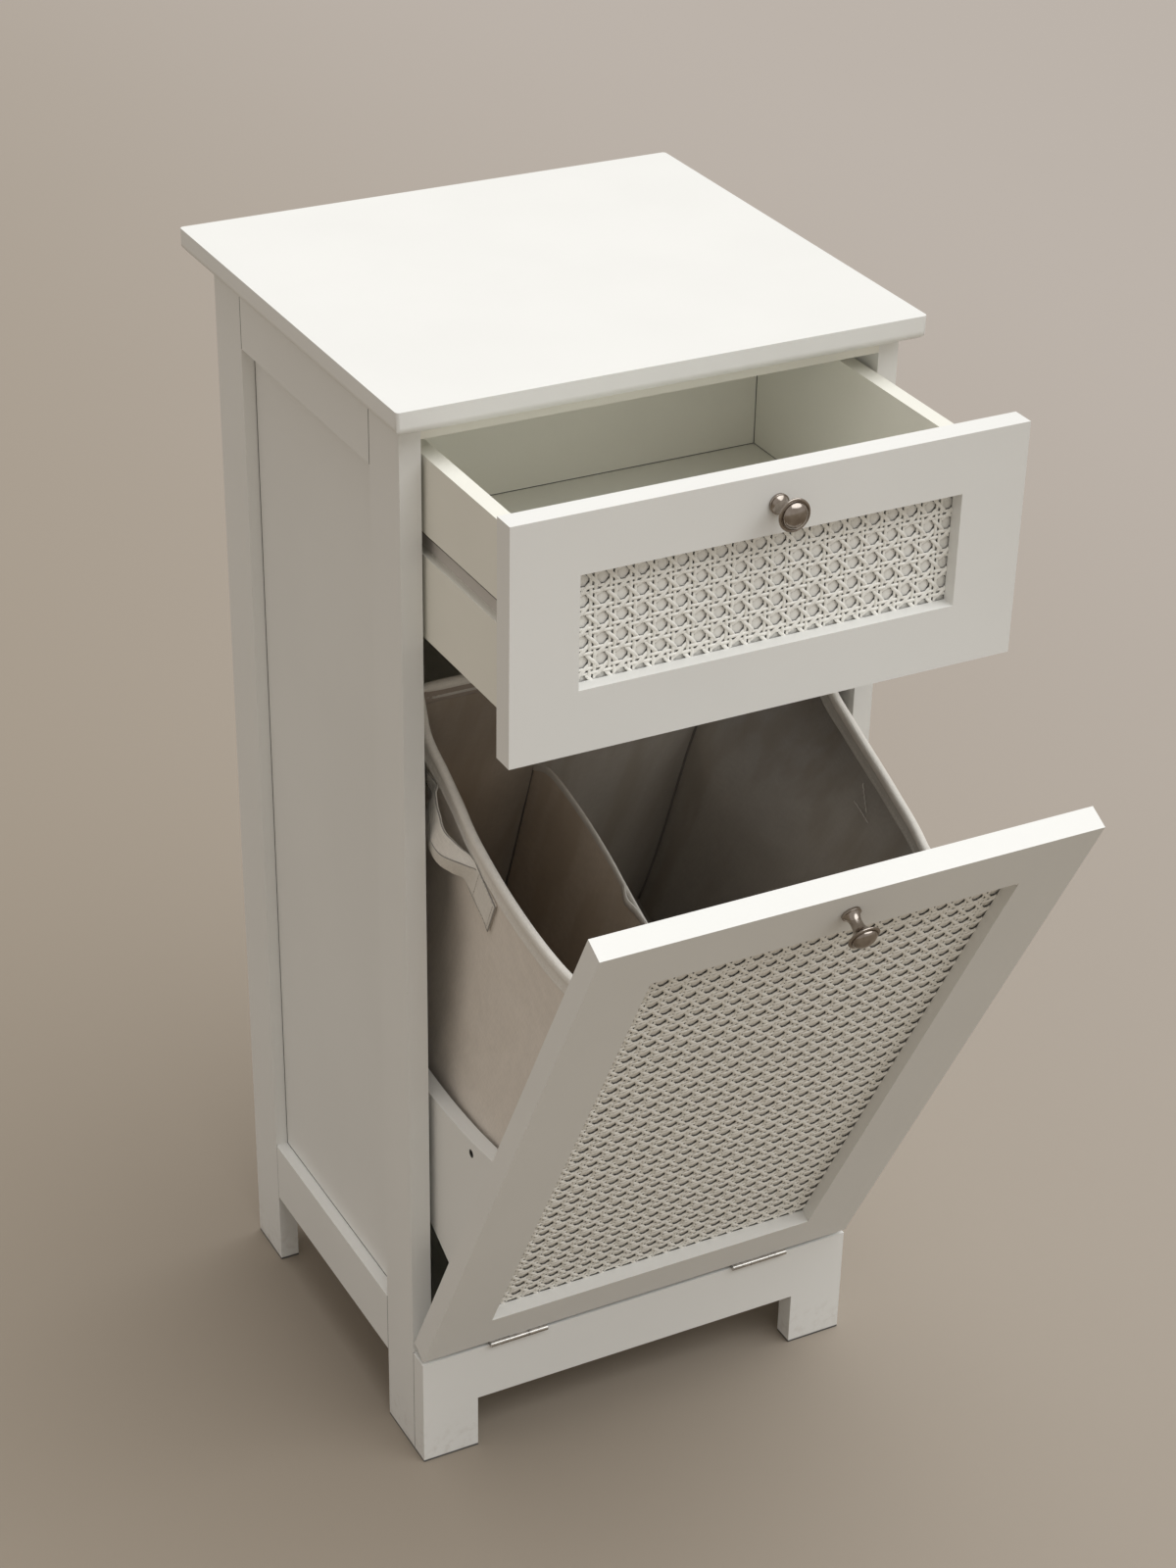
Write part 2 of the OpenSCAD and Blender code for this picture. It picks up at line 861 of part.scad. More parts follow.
module cheek_dowel_places() {
    both_sides()
        for (u = cheek_dowels_u)
            translate([cheek_in + cheek_t / 2, 0, u])
                children();
}

// Hinges

module hinge_screw_places() {
    for (x = [-hinge_screw_x, hinge_screw_x])
        translate([hinge_x + x, axis_y + hinge_screw_y, 0])
            children();
}

// The plate of a leaf behind the axis at y = 0, lying from z = 0 to its thickness
module leaf_plate(full) {
    clear = barrel_r + knuckle_gap;
    difference() {
        translate([-hinge_l / 2, 0, 0])
            cube([hinge_l, leaf_d, leaf_t]);
        for (i = [-1 : 1])
            if ((i == 0) != full)
                translate([
                    i * (knuckle_l + knuckle_gap) - knuckle_l / 2 - knuckle_gap,
                    -cut,
                    -cut
                ])
                    cube([knuckle_l + 2 * knuckle_gap, clear + cut, leaf_t + 2 * cut]);
    }
}

// A leaf with its knuckles about the axis at y = 0, z = 0; full means the middle knuckle
module hinge_leaf(full, plate_z, bore_r) {
    difference() {
        union() {
            translate([0, 0, plate_z])
                leaf_plate(full);
            for (i = [-1 : 1])
                if ((i == 0) == full)
                    translate([i * (knuckle_l + knuckle_gap), 0, 0])
                        rod_x(-knuckle_l / 2, knuckle_l / 2, barrel_r);
        }
        rod_x(-hinge_l, hinge_l, bore_r);
        for (x = [-hinge_screw_x, hinge_screw_x])
            translate([x, hinge_screw_y, 0])
                if (full)
                    translate([0, 0, plate_z])
                        screw(hinge_screw_r, hinge_screw_head_r, hinge_screw_l);
                else
                    translate([0, 0, plate_z + leaf_t])
                        mirror([0, 0, 1])
                            screw(hinge_screw_r, hinge_screw_head_r, hinge_screw_l);
    }
}

module hinge_base_leaf(side) {
    color(steel)
        in_carcass()
            translate([side * hinge_x, axis_y, axis_z])
                hinge_leaf(false, -hinge_gap / 2, pin_r);
}

module hinge_door_leaf(side) {
    color(steel)
        on_door()
            translate([side * hinge_x, -barrel_out, -hinge_gap / 2])
                hinge_leaf(true, hinge_gap / 2 - leaf_t, pin_r + pin_play);
}

module hinge_pin(side) {
    color(steel)
        in_carcass()
            translate([side * hinge_x, axis_y, axis_z])
                rod_x(-hinge_l / 2, hinge_l / 2, pin_r);
}

module hinge_base_screws() {
    color(steel)
        in_carcass()
            both_sides()
                hinge_screw_places()
                    translate([0, 0, base_h + leaf_t])
                        mirror([0, 0, 1])
                            screw(hinge_screw_r, hinge_screw_head_r, hinge_screw_l);
}

module hinge_door_screws() {
    color(steel)
        on_door()
            both_sides()
                for (x = [-hinge_screw_x, hinge_screw_x])
                    translate([hinge_x + x, -barrel_out + hinge_screw_y, -leaf_t])
                        screw(hinge_screw_r, hinge_screw_head_r, hinge_screw_l);
}

// Tray

module cheek_outline() {
    difference() {
        polygon([
            [front_t, tray_up],
            [cheek_end, tray_up],
            arc_b,
            arc_a
        ]);
        translate(arc_c)
            circle(arc_r, $fn = 180);
    }
}

module tray_cheek(side) {
    color(paint)
        on_door()
            difference() {
                on_side(side)
                    difference() {
                        plate_x(cheek_in, cheek_out)
                            cheek_outline();
                        translate([0, front_t + cheek_hole_d, tray_up + cheek_hole_up])
                            rod_x(cheek_in - cut, cheek_out + cut, cheek_hole_r);
                        tray_screw_places()
                            screw_x(cheek_t + cut);
                    }
                cheek_dowel_places()
                    rod_y(front_t - cut, front_t + dowel_end, dowel_r);
            }
}

module tray_screw_places() {
    for (d = tray_screws_d)
        translate([cheek_out, d, tray_up + tray_floor_t / 2])
            rotate([0, 0, 180])
                children();
    translate([cheek_out, tray_end + cheek_t / 2, tray_up + cheek_back_h / 2])
        rotate([0, 0, 180])
            children();
}

module tray_board(y, d, h) {
    color(paint_inside)
        on_door()
            difference() {
                translate([-cheek_in, y, tray_up])
                    cube([2 * cheek_in, d, h]);
                both_sides()
                    tray_screw_places()
                        screw_x(cheek_t + screw_in);
            }
}

// Laundry bag

function rim_h(d) =
    d < rim_dip_d
    ? rim_dip_h + (rim_front_h - rim_dip_h) * pow((rim_dip_d - d) / (rim_dip_d - bag_front), 2)
    : rim_dip_h + (rim_back_h - rim_dip_h) * pow((d - rim_dip_d) / (bag_back - rim_dip_d), 3);

function rim_d(i) = bag_front + (bag_back - bag_front) * i / rim_steps;

module bag_outline() {
    polygon(concat(
        [[bag_back, bag_floor], [bag_front, bag_floor]],
        [for (i = [0 : rim_steps]) [rim_d(i), rim_h(rim_d(i))]]
    ));
}

module laundry_bag() {
    color(cloth)
        on_door()
            difference() {
                plate_x(-bag_x, bag_x)
                    bag_outline();
                translate([-bag_x + cloth_t, bag_front + cloth_t, bag_floor + cloth_t])
                    cube([
                        2 * (bag_x - cloth_t),
                        bag_back - bag_front - 2 * cloth_t,
                        rim_front_h
                    ]);
            }
}

module bag_divider() {
    color(cloth)
        on_door()
            plate_x(-divider_x - cloth_t / 2, -divider_x + cloth_t / 2)
                polygon([
                    [bag_back - cloth_t, bag_floor + cloth_t],
                    [bag_front + cloth_t, bag_floor + cloth_t],
                    [bag_front + cloth_t, door_h - divider_front_drop],
                    [(bag_front + bag_back) / 2, door_h - divider_mid_drop],
                    [bag_back - cloth_t, door_h - divider_back_drop]
                ]);
}

// The band of binding that sits on the rim
module binding_outline() {
    polygon(concat(
        [for (i = [0 : rim_steps]) [rim_d(i), rim_h(rim_d(i))]],
        [for (i = [rim_steps : -1 : 0]) [rim_d(i), rim_h(rim_d(i)) + binding_h]]
    ));
}

module bag_rim_binding() {
    inner = cloth_t + binding_out;
    color(binding)
        on_door()
            difference() {
                plate_x(-bag_x - binding_out, bag_x + binding_out)
                    binding_outline();
                translate([-bag_x + inner, bag_front + inner, rim_dip_h - cut])
                    cube([
                        2 * (bag_x - inner),
                        bag_back - bag_front - 2 * inner,
                        rim_front_h
                    ]);
            }
}

// How far a strap stands off the bag's side at a share of its length
function strap_out(share, sewn) =
    strap_slack * pow(sin(180 * min(max((share - sewn) / (1 - 2 * sewn), 0), 1)), 2);

// A carrying strap: two sewn ends and the slack band between them
module bag_handle(side) {
    reach = strap_back_d - strap_front_d;
    shares = [for (i = [0 : strap_steps]) i / strap_steps];
    inner = [for (share = shares) [strap_out(share, strap_sewn / reach), reach * share]];
    outer = [for (i = [strap_steps : -1 : 0]) inner[i] + [strap_t, 0]];
    color(binding)
        on_door()
            on_side(side)
                translate([bag_x + bag_gap, strap_front_d, strap_top - strap_w])
                    linear_extrude(strap_w)
                        polygon(concat(inner, outer));
}

module bag_fastening_strip() {
    color(binding)
        on_door()
            translate([-strip_x, front_t, strip_z])
                cube([2 * strip_x, bag_front_gap, strip_h]);
}

// Fixings

module carcass_dowels() {
    color(beech)
        in_carcass()
            both_sides() {
                for (y = stretcher_dowels, at = [y, back_y - y])
                    translate([0, at, frame_h - board_t / 2])
                        rod_x(side_in - dowel_end, side_in + dowel_in, dowel_r);
                for (y = board_dowels)
                    translate([0, y, rail_z + board_t / 2])
                        rod_x(side_in - dowel_end, side_in + dowel_in, dowel_r);
            }
}

module top_screws() {
    color(steel)
        in_carcass()
            top_screw_places()
                translate([0, 0, frame_h - board_t])
                    screw(screw_r, screw_head_r, board_t + screw_in);
}

module rail_screws() {
    color(steel)
        in_carcass()
            both_sides()
                for (y = rail_screws_y, z = [runner_z, stop_rail_z])
                    translate([side_in - runner_t, y, z + runner_h / 2])
                        screw_x(runner_t + screw_in);
}

// Short pins whose shanks end in the back panel, with flat heads behind it
module back_panel_pins() {
    color(steel)
        in_carcass()
            pin_places() {
                rod_y(0, back_t, nail_r);
                rod_y(back_t, back_t + nail_r / 2, 2 * nail_r);
            }
}

module drawer_dowels() {
    color(beech)
        in_drawer()
            side_dowel_places()
                rod_y(-dowel_in, dowel_end, dowel_r);
}

module drawer_screws() {
    color(steel)
        in_drawer()
            side_screw_places()
                screw_x(drawer_t + screw_in);
}

module tray_screws() {
    color(steel)
        on_door()
            both_sides()
                tray_screw_places()
                    screw_x(cheek_t + screw_in);
}

module tray_dowels() {
    color(beech)
        on_door()
            cheek_dowel_places()
                rod_y(front_t - dowel_in, front_t + dowel_end, dowel_r);
}

top_board();
frame_piece(-1) front_post();  // left_front_post
frame_piece(-1) back_post();  // left_back_post
frame_piece(-1) top_rail();  // left_top_rail
frame_piece(-1) bottom_rail();  // left_bottom_rail
frame_piece(-1) side_panel();  // left_side_panel
frame_piece(1) front_post();  // right_front_post
frame_piece(1) back_post();  // right_back_post
frame_piece(1) top_rail();  // right_top_rail
frame_piece(1) bottom_rail();  // right_bottom_rail
frame_piece(1) side_panel();  // right_side_panel
base_board();
back_panel();
stretcher(0);  // front_stretcher
stretcher(back_y - stretcher_w);  // back_stretcher
bottom_board();
drawer_runner(-1);  // left_drawer_runner
drawer_runner(1);  // right_drawer_runner
stop_rail(-1);  // left_stop_rail
stop_rail(1);  // right_stop_rail
drawer_front();
color(cane)  // drawer_cane
        on_drawer_front()
            window_sheet(drawer_front_h, drawer_frame_top, drawer_frame_bottom, cane_recess, cane_t);
color(hardboard)  // drawer_cane_backing
        on_drawer_front()
            window_sheet(
                drawer_front_h, drawer_frame_top, drawer_frame_bottom, front_t - backing_t, backing_t
            );
drawer_side(-1);  // drawer_left_side
drawer_side(1);  // drawer_right_side
drawer_back();
drawer_bottom();
on_drawer_front() front_knob(drawer_front_h, drawer_frame_top);  // drawer_knob
on_drawer_front() knob_screw(drawer_front_h, drawer_frame_top);  // drawer_knob_screw
door_frame();
color(cane)  // door_cane
        on_door()
            window_sheet(door_h, door_frame_top, door_frame_bottom, cane_recess, cane_t);
color(hardboard)  // door_cane_backing
        on_door()
            window_sheet(door_h, door_frame_top, door_frame_bottom, front_t - backing_t, backing_t);
on_door() front_knob(door_h, door_frame_top);  // door_knob
on_door() knob_screw(door_h, door_frame_top);  // door_knob_screw
hinge_base_leaf(-1);  // left_hinge_base_leaf
hinge_door_leaf(-1);  // left_hinge_door_leaf
hinge_pin(-1);  // left_hinge_pin
hinge_base_leaf(1);  // right_hinge_base_leaf
hinge_door_leaf(1);  // right_hinge_door_leaf
hinge_pin(1);  // right_hinge_pin
hinge_base_screws();
hinge_door_screws();
tray_cheek(-1);  // tray_left_cheek
tray_cheek(1);  // tray_right_cheek
tray_board(front_t, tray_d, tray_floor_t);  // tray_floor
tray_board(tray_end, cheek_t, cheek_back_h);  // tray_back
tray_screws();
tray_dowels();
laundry_bag();
bag_divider();
bag_rim_binding();
bag_handle(-1);  // bag_left_handle
bag_handle(1);  // bag_right_handle
bag_fastening_strip();
carcass_dowels();
top_screws();
rail_screws();
back_panel_pins();
drawer_dowels();
drawer_screws();
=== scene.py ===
"""The looks of a tilt-out laundry cabinet: painted boards, woven cane, knobs, hinges and a divided bag."""

import json
import math

import bpy
import numpy as np
from mathutils import Matrix, Vector, noise


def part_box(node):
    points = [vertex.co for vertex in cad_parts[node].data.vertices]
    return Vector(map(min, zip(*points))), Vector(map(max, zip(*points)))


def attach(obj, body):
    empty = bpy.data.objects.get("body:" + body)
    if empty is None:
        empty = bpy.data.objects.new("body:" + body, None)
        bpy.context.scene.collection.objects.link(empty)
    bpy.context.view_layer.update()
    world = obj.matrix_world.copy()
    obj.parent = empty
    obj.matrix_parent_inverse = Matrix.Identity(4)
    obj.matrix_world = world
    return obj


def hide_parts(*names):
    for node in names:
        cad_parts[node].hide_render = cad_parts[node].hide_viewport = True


bl_info = {
    "name": "Tilt-out laundry cabinet",
    "version": (1, 0, 0),
    "blender": (4, 5, 0),
    "location": "3D View > Sidebar > Cabinet",
    "description": "Finishes the cabinet's boards and makes its cane, knobs and laundry bag",
    "category": "Object",
}

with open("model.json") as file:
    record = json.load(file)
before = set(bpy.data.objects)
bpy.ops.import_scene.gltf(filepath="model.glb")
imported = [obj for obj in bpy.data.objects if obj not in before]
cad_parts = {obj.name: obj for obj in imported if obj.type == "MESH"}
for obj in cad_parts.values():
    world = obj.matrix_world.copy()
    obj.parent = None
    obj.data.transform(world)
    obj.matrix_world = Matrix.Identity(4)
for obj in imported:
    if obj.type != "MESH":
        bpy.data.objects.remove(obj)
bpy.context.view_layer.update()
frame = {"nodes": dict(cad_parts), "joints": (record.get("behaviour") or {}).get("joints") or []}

NODES = frame["nodes"]
OUT, BACK, UP = (1, 0, 0), (0, 1, 0), (0, 0, 1)
SIDES = ((-1, "left"), (1, "right"))

# The drawer's and the door's own places are x, the depth behind the front face and the height above the
# front's lower edge
DRAWER_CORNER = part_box("drawer_front")[0]
TILT = next(joint for joint in frame["joints"] if joint["name"] == "door_tilt")
BARREL_OUT = 0.002
HALF_HINGE_GAP = 0.0015
PLACES = {
    "drawer": Matrix.Translation((0, DRAWER_CORNER.y, DRAWER_CORNER.z)),
    "door": Matrix.Translation(Vector(TILT["pos_m"]))
    @ Matrix.Rotation(-math.radians(TILT["range_deg"][0]), 4, "X")
    @ Matrix.Translation((0, BARREL_OUT, HALF_HINGE_GAP)),
}

FRONT_T = 0.018
WINDOW_X = 0.143
# The heights of each window's lower and upper edge
WINDOWS = {"drawer": (0.046, 0.128), "door": (0.044, 0.549)}
CANE_DEPTH = 0.0115
WEB_BACK = 0.013
KNOB_UP = {"drawer": 0.1495, "door": 0.5735}
# The middle of the cheeks' tie holes in the row's y and z, and the radius of the dark ring painted round each
# as painted shade of its inside
TIE_HOLE_SHADE = (-0.0909, 0.3286, 0.0034)


# Meshes


def smoothstep(low, high, value):
    """0 below low, 1 above high and smooth between them."""
    share = min(max((value - low) / (high - low), 0), 1)
    return share * share * (3 - 2 * share)


def linked(name, data):
    """A new object in the scene."""
    made = bpy.data.objects.new(name, data)
    bpy.context.scene.collection.objects.link(made)
    return made


def shaded(name, mesh, finishes):
    """A smooth-shaded mesh object from points and faces."""
    points, faces = mesh
    data = bpy.data.meshes.new(name)
    data.from_pydata([tuple(p) for p in points], [], faces)
    for finish in finishes:
        data.materials.append(finish)
    data.polygons.foreach_set("use_smooth", [True] * len(data.polygons))
    data.validate()
    data.update()
    return linked(name, data)


def new_piece(name, mesh, finishes, body, stands_for=()):
    """A mesh piece in its body's own places, riding on that body."""
    piece = shaded(name, mesh, finishes)
    piece.matrix_world = PLACES[body]
    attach(piece, body)
    if stands_for:
        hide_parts(*stands_for)
    return piece


def modify(piece, name, kind, **settings):
    """Gives a piece a modifier with its settings."""
    made = piece.modifiers.new(name, kind)
    for key, setting in settings.items():
        setattr(made, key, setting)


def grid_faces(rows, columns, wrap=False, closed=False):
    """The faces of a grid of points stored row by row; wrap and closed join its ends across and along."""
    faces = []
    for row in range(rows if closed else rows - 1):
        low, high = row * columns, (row + 1) % rows * columns
        for column in range(columns if wrap else columns - 1):
            after = (column + 1) % columns
            faces.append((low + column, low + after, high + after, high + column))
    return faces


def weld_pieces(parts):
    """Points and faces of several (points, faces) parts in one list each."""
    points = []
    faces = []
    for part_points, part_faces in parts:
        start = len(points)
        points.extend(part_points)
        faces.extend(tuple(start + i for i in face) for face in part_faces)
    return points, faces


def mirrored(half, middle=()):
    """An outline from its one half and the places in its middle."""
    return (*half, *middle, *((-out, rise) for out, rise in reversed(half)))


def circle(count, radius=1.0):
    """Pairs evenly round a circle."""
    turns = [2 * math.pi * i / count for i in range(count)]
    return [(radius * math.cos(turn), radius * math.sin(turn)) for turn in turns]


def end_caps(points, count):
    """The two faces that close a tube whose rings have that many points."""
    return [tuple(reversed(range(count))), tuple(range(len(points) - count, len(points)))]


def lathe(profile, segments):
    """A turned shape round +Z from (radius, height) pairs, with its ends closed."""
    points = [(x, y, height) for radius, height in profile for x, y in circle(segments, radius)]
    return points, grid_faces(len(profile), segments, wrap=True) + end_caps(points, segments)


def sweep(path, sides, ups, outline, closed_path=False, closed_outline=True):
    """A band along a path; the outline's pairs are shares of the side and up vectors at each point."""
    path = np.asarray(path, float)
    ways = zip(path, np.broadcast_to(sides, path.shape), np.broadcast_to(ups, path.shape))
    points = [place + side * out + up * rise for place, side, up in ways for out, rise in outline]
    faces = grid_faces(len(path), len(outline), closed_outline, closed_path)
    if closed_outline and not closed_path:
        faces += end_caps(points, len(outline))
    return points, faces


def unit(vectors):
    """The vectors with length 1."""
    vectors = np.asarray(vectors, float)
    return vectors / np.maximum(np.linalg.norm(vectors, axis=-1, keepdims=True), 1e-12)


def along(path, closed=False):
    """Directions of a path at its points."""
    path = np.asarray(path, float)
    if closed:
        return unit(np.roll(path, -1, axis=0) - np.roll(path, 1, axis=0))
    return unit(np.gradient(path, axis=0))


def level_sweep(line, outline):
    """A band along a line, with the outline's first number sideways and its second one upwards."""
    direction = along(line)
    sides = unit(np.cross(direction, UP))
    return sweep(line, sides, np.cross(sides, direction), outline)


def smooth_path(points, per_span):
    """A path through the points with no kinks."""
    points = [np.asarray(p, float) for p in points]
    path = []
    for i in range(len(points) - 1):
        before, after = points[max(i - 1, 0)], points[min(i + 2, len(points) - 1)]
        first, second = points[i], points[i + 1]
        for j in range(per_span):
            t = j / per_span
            bend = (2 * before - 5 * first + 4 * second - after) * t**2
            twist = (3 * first - before - 3 * second + after) * t**3
            path.append(0.5 * (2 * first + (second - before) * t + bend + twist))
    path.append(points[-1])
    return np.array(path)


def ripple(place, scale, seed=0.0):
    """A smooth wave from -1 to 1 through space."""
    return noise.noise(Vector(place) * scale + Vector((seed, seed * 1.7, -seed)))


# Materials


class Value:
    """A number in a material's nodes; signs of arithmetic on it add Math nodes."""

    def __init__(self, finish, socket):
        self.finish = finish
        self.socket = socket

    def maths(self, operation, *values):
        node = self.finish.node("ShaderNodeMath", {"operation": operation}, dict(enumerate(values)))
        return Value(self.finish, node.outputs[0])

    def __add__(self, other):
        return self.maths("ADD", self, other)

    def __sub__(self, other):
        return self.maths("SUBTRACT", self, other)

    def __rsub__(self, other):
        return self.maths("SUBTRACT", other, self)

    def __mul__(self, other):
        return self.maths("MULTIPLY", self, other)

    def __truediv__(self, other):
        return self.maths("DIVIDE", self, other)

    def __pow__(self, other):
        return self.maths("POWER", self, other)

    __radd__ = __add__
    __rmul__ = __mul__

    def sine(self):
        return self.maths("SINE", self)

    def size(self):
        """The number without its sign."""
        return self.maths("ABSOLUTE", self)

    def ramp(self, low, high):
        """0 below low, 1 above high and smooth between them."""
        sockets = {"Value": self, "From Min": low, "From Max": high}
        node = self.finish.node("ShaderNodeMapRange", {"interpolation_type": "SMOOTHSTEP"}, sockets)
        return Value(self.finish, node.outputs["Result"])


class Nodes:
    """The nodes of a material or a world."""

    def __init__(self, owner):
        owner.use_nodes = True
        self.tree = owner.node_tree
        self.tree.nodes.clear()

    def link(self, value, inputs, key):
        """Links a value to a socket, or sets the socket where the value is a plain number or colour."""
        if isinstance(value, Value):
            value = value.socket
        if isinstance(value, bpy.types.NodeSocket):
            self.tree.links.new(value, inputs[key])
        else:
            inputs[key].default_value = value

    def node(self, kind, settings=None, sockets=None):
        """A node of that type, with its settings and the values or links of its sockets."""
        made = self.tree.nodes.new(kind)
        for key, setting in (settings or {}).items():
            setattr(made, key, setting)
        for key, value in (sockets or {}).items():
            self.link(value, made.inputs, key)
        return made


class Finish(Nodes):
    """One material and the nodes that make it."""

    def __init__(self, name, roughness=0.5, metallic=0.0, **sockets):
        self.material = bpy.data.materials.new(name)
        super().__init__(self.material)
        numbers = {"Roughness": roughness, "Metallic": metallic}
        numbers.update({key.replace("_", " "): number for key, number in sockets.items()})
        self.shader = self.node("ShaderNodeBsdfPrincipled", {}, numbers)
        self.node("ShaderNodeOutputMaterial", {}, {"Surface": self.shader.outputs[0]})
        self.place = self.node("ShaderNodeTexCoord").outputs["Object"]

    def done(self, tone, roughness=None, normal=None):
        """Links the shader's colour, roughness and normal, and gives the material."""
        for key, value in (("Base Color", tone), ("Roughness", roughness), ("Normal", normal)):
            if value is not None:
                self.link(value, self.shader.inputs, key)
        return self.material

    def noise(self, scale, detail=2.0, stretch=(1, 1, 1)):
        """Cloudy noise from 0 to 1; scale is in waves per metre."""
        place = self.place
        if stretch != (1, 1, 1):
            place = self.node("ShaderNodeMapping", {}, {"Vector": place, "Scale": stretch}).outputs[0]
        sockets = {"Vector": place, "Scale": scale, "Detail": detail, "Roughness": 0.5}
        return Value(self, self.node("ShaderNodeTexNoise", {}, sockets).outputs[0])

    def axes(self):
        """The object's own places as three numbers."""
        split = self.node("ShaderNodeSeparateXYZ", {}, {0: self.place})
        return [Value(self, split.outputs[i]) for i in range(3)]

    def along(self, direction):
        """The object's own place measured along a direction."""
        node = self.node("ShaderNodeVectorMath", {"operation": "DOT_PRODUCT"}, {0: self.place, 1: direction})
        return Value(self, node.outputs["Value"])

    def within(self, ranges):
        """1 inside all the ranges of the object's own place: each a direction, two limits and a soft edge."""
        inside = 1.0
        for direction, low, high, soft in ranges:
            at = self.along(direction)
            inside = at.ramp(low - soft, low) * (1 - at.ramp(high, high + soft)) * inside
        return inside

    def mix(self, first, second, factor, blend="MIX"):
        """A colour between two colours."""
        settings = {"data_type": "RGBA", "blend_type": blend}
        return self.node("ShaderNodeMix", settings, {0: factor, 6: first, 7: second}).outputs[2]

    def tinted_and_shaded(self, tone, shade_and_tints):
        """The tone tinted by each tint, painted shade among them: a colour and the ranges within which it
        tints.
        """
        for tint, ranges in shade_and_tints:
            tone = self.mix(tone, shade(tint), self.within(ranges), "MULTIPLY")
        return tone

    def bump(self, height, distance, normal=None):
        """The surface raised by height times distance in metres."""
        sockets = {"Height": height, "Distance": distance, "Strength": 1.0}
        if normal is not None:
            sockets["Normal"] = normal
        return self.node("ShaderNodeBump", {}, sockets).outputs[0]


def shade(colour, factor=1.0):
    """A colour made lighter or darker, as a node's colour with alpha."""
    return tuple(min(1.0, channel * factor) for channel in colour[:3]) + (1.0,)


SCUFFS = (0.55, 0.51, 0.45)


def satin_paint(name, colour, peel, cloud, joints=(), holes=(), shade_and_tints=()):
    """Sprayed satin paint: faint orange peel, soft clouds and scuffs near the floor.

    Each joint is a dark line where a plane crosses the faces: at joints between boards it is a dark joint;
    in recessed corners, at a window's edge round the cane and along a groove's upper edge it is painted
    shade. Its numbers are the plane's direction, its place along it, the line's half width and the ranges,
    each along a direction, within which it shows. Each hole shade is a dark ring painted round a hole along
    x, painted shade of the hole's inside: its middle's y and z and the ring's radius. The shade and tints
    tint the colour within their ranges, painted shade among them.
    """
    finish = Finish(name, Specular_IOR_Level=0.3)
    clouds = finish.noise(9, 4)
    dimples = finish.noise(520, 2)
    strokes = finish.noise(60, 3, (1, 1, 0.06))
    scuff = (1 - finish.axes()[2].ramp(0.0, 0.05)) * finish.noise(130, 5).ramp(0.45, 0.75)
    tone = finish.mix(shade(colour, 1 - cloud), shade(colour, 1 + cloud / 2), clouds.ramp(0.3, 0.7))
    tone = finish.mix(tone, shade(SCUFFS), scuff * 0.35)
    for direction, place, half_width, ranges in joints:
        line = 1 - (finish.along(direction) - place).size().ramp(half_width * 0.5, half_width)
        limits = [(*limit, 0.0001) for limit in ranges]
        tone = finish.mix(tone, shade(colour, 0.1), line * finish.within(limits))
    tone = finish.tinted_and_shaded(tone, shade_and_tints)
    # painted shade: a dark ring round each hole, standing in for the shade inside it
    for y, z, radius in holes:
        aside = finish.along(BACK) - y
        above = finish.along(UP) - z
        away = (aside * aside + above * above) ** 0.5
        tone = finish.mix(shade(colour, 0.05), tone, away.ramp(radius - 0.0002, radius + 0.0002))
    waves = finish.bump(strokes, peel * 2)
    return finish.done(tone, 0.48 + clouds * 0.08 + dimples * 0.06, finish.bump(dimples, peel, waves))


def painted_fibreboard(name, colour):
    """Thin painted hardboard with a faint pressed texture."""
    finish = Finish(name)
    fibres = finish.noise(700, 4, (1, 1, 0.5))
    clouds = finish.noise(14, 4)
    tone = finish.mix(shade(colour, 0.93), shade(colour, 1.04), fibres * 0.5 + clouds * 0.5)
    return finish.done(tone, 0.55 + fibres * 0.15, finish.bump(fibres, 0.00008))


def painted_cane(name, colour, shadow, low, high):
    """Cane under white paint with its fine fibres; between two depths of the weave the colour is painted
    darker, as painted shade in its recesses.
    """
    finish = Finish(name, Specular_IOR_Level=0.35)
    fibres = finish.noise(1500, 3)
    clouds = finish.noise(45, 3)
    tone = finish.mix(shade(colour, 0.94), shade(colour, 1.04), fibres * 0.6 + clouds * 0.4)
    # painted shade: darker towards the backing, where shade falls between and under the strands
    tone = finish.mix(tone, shade(colour, shadow), finish.axes()[1].ramp(low, high))
    return finish.done(tone, 0.42 + fibres * 0.14, finish.bump(fibres, 0.00006))


def brushed_nickel(name, colour, tarnish):
    """Dark brushed nickel: turned lines, warm tarnish and a soft gloss."""
    finish = Finish(name, metallic=1.0)
    lines = finish.noise(2600, 2, (0.15, 0.15, 1))
    clouds = finish.noise(160, 4)
    tone = finish.mix(shade(colour), shade(tarnish), clouds.ramp(0.35, 0.75))
    return finish.done(tone, 0.1 + lines * 0.1 + clouds * 0.06, finish.bump(lines, 0.000012))


def zinc_plate(name, colour):
    """Bright zinc plate with fine drawn lines and dull patches."""
    finish = Finish(name, metallic=1.0)
    lines = finish.noise(1800, 2, (0.05, 1, 1))
    tone = finish.mix(shade(colour, 0.8), shade(colour, 1.1), finish.noise(240, 3).ramp(0.3, 0.7))
    return finish.done(tone, 0.2 + lines * 0.14, finish.bump(lines, 0.00001))


def beech(name, colour, dark):
    """Bare beech: long grain with short dark flecks."""
    finish = Finish(name)
    grain = finish.noise(90, 5, (1, 0.06, 1))
    flecks = finish.noise(900, 2, (1, 0.12, 1)).ramp(0.6, 0.8)
    tone = finish.mix(shade(colour), shade(dark), grain.ramp(0.3, 0.75))
    tone = finish.mix(tone, shade(dark, 0.7), flecks * 0.5)
    return finish.done(tone, 0.5 + grain * 0.2, finish.bump(grain, 0.0001))


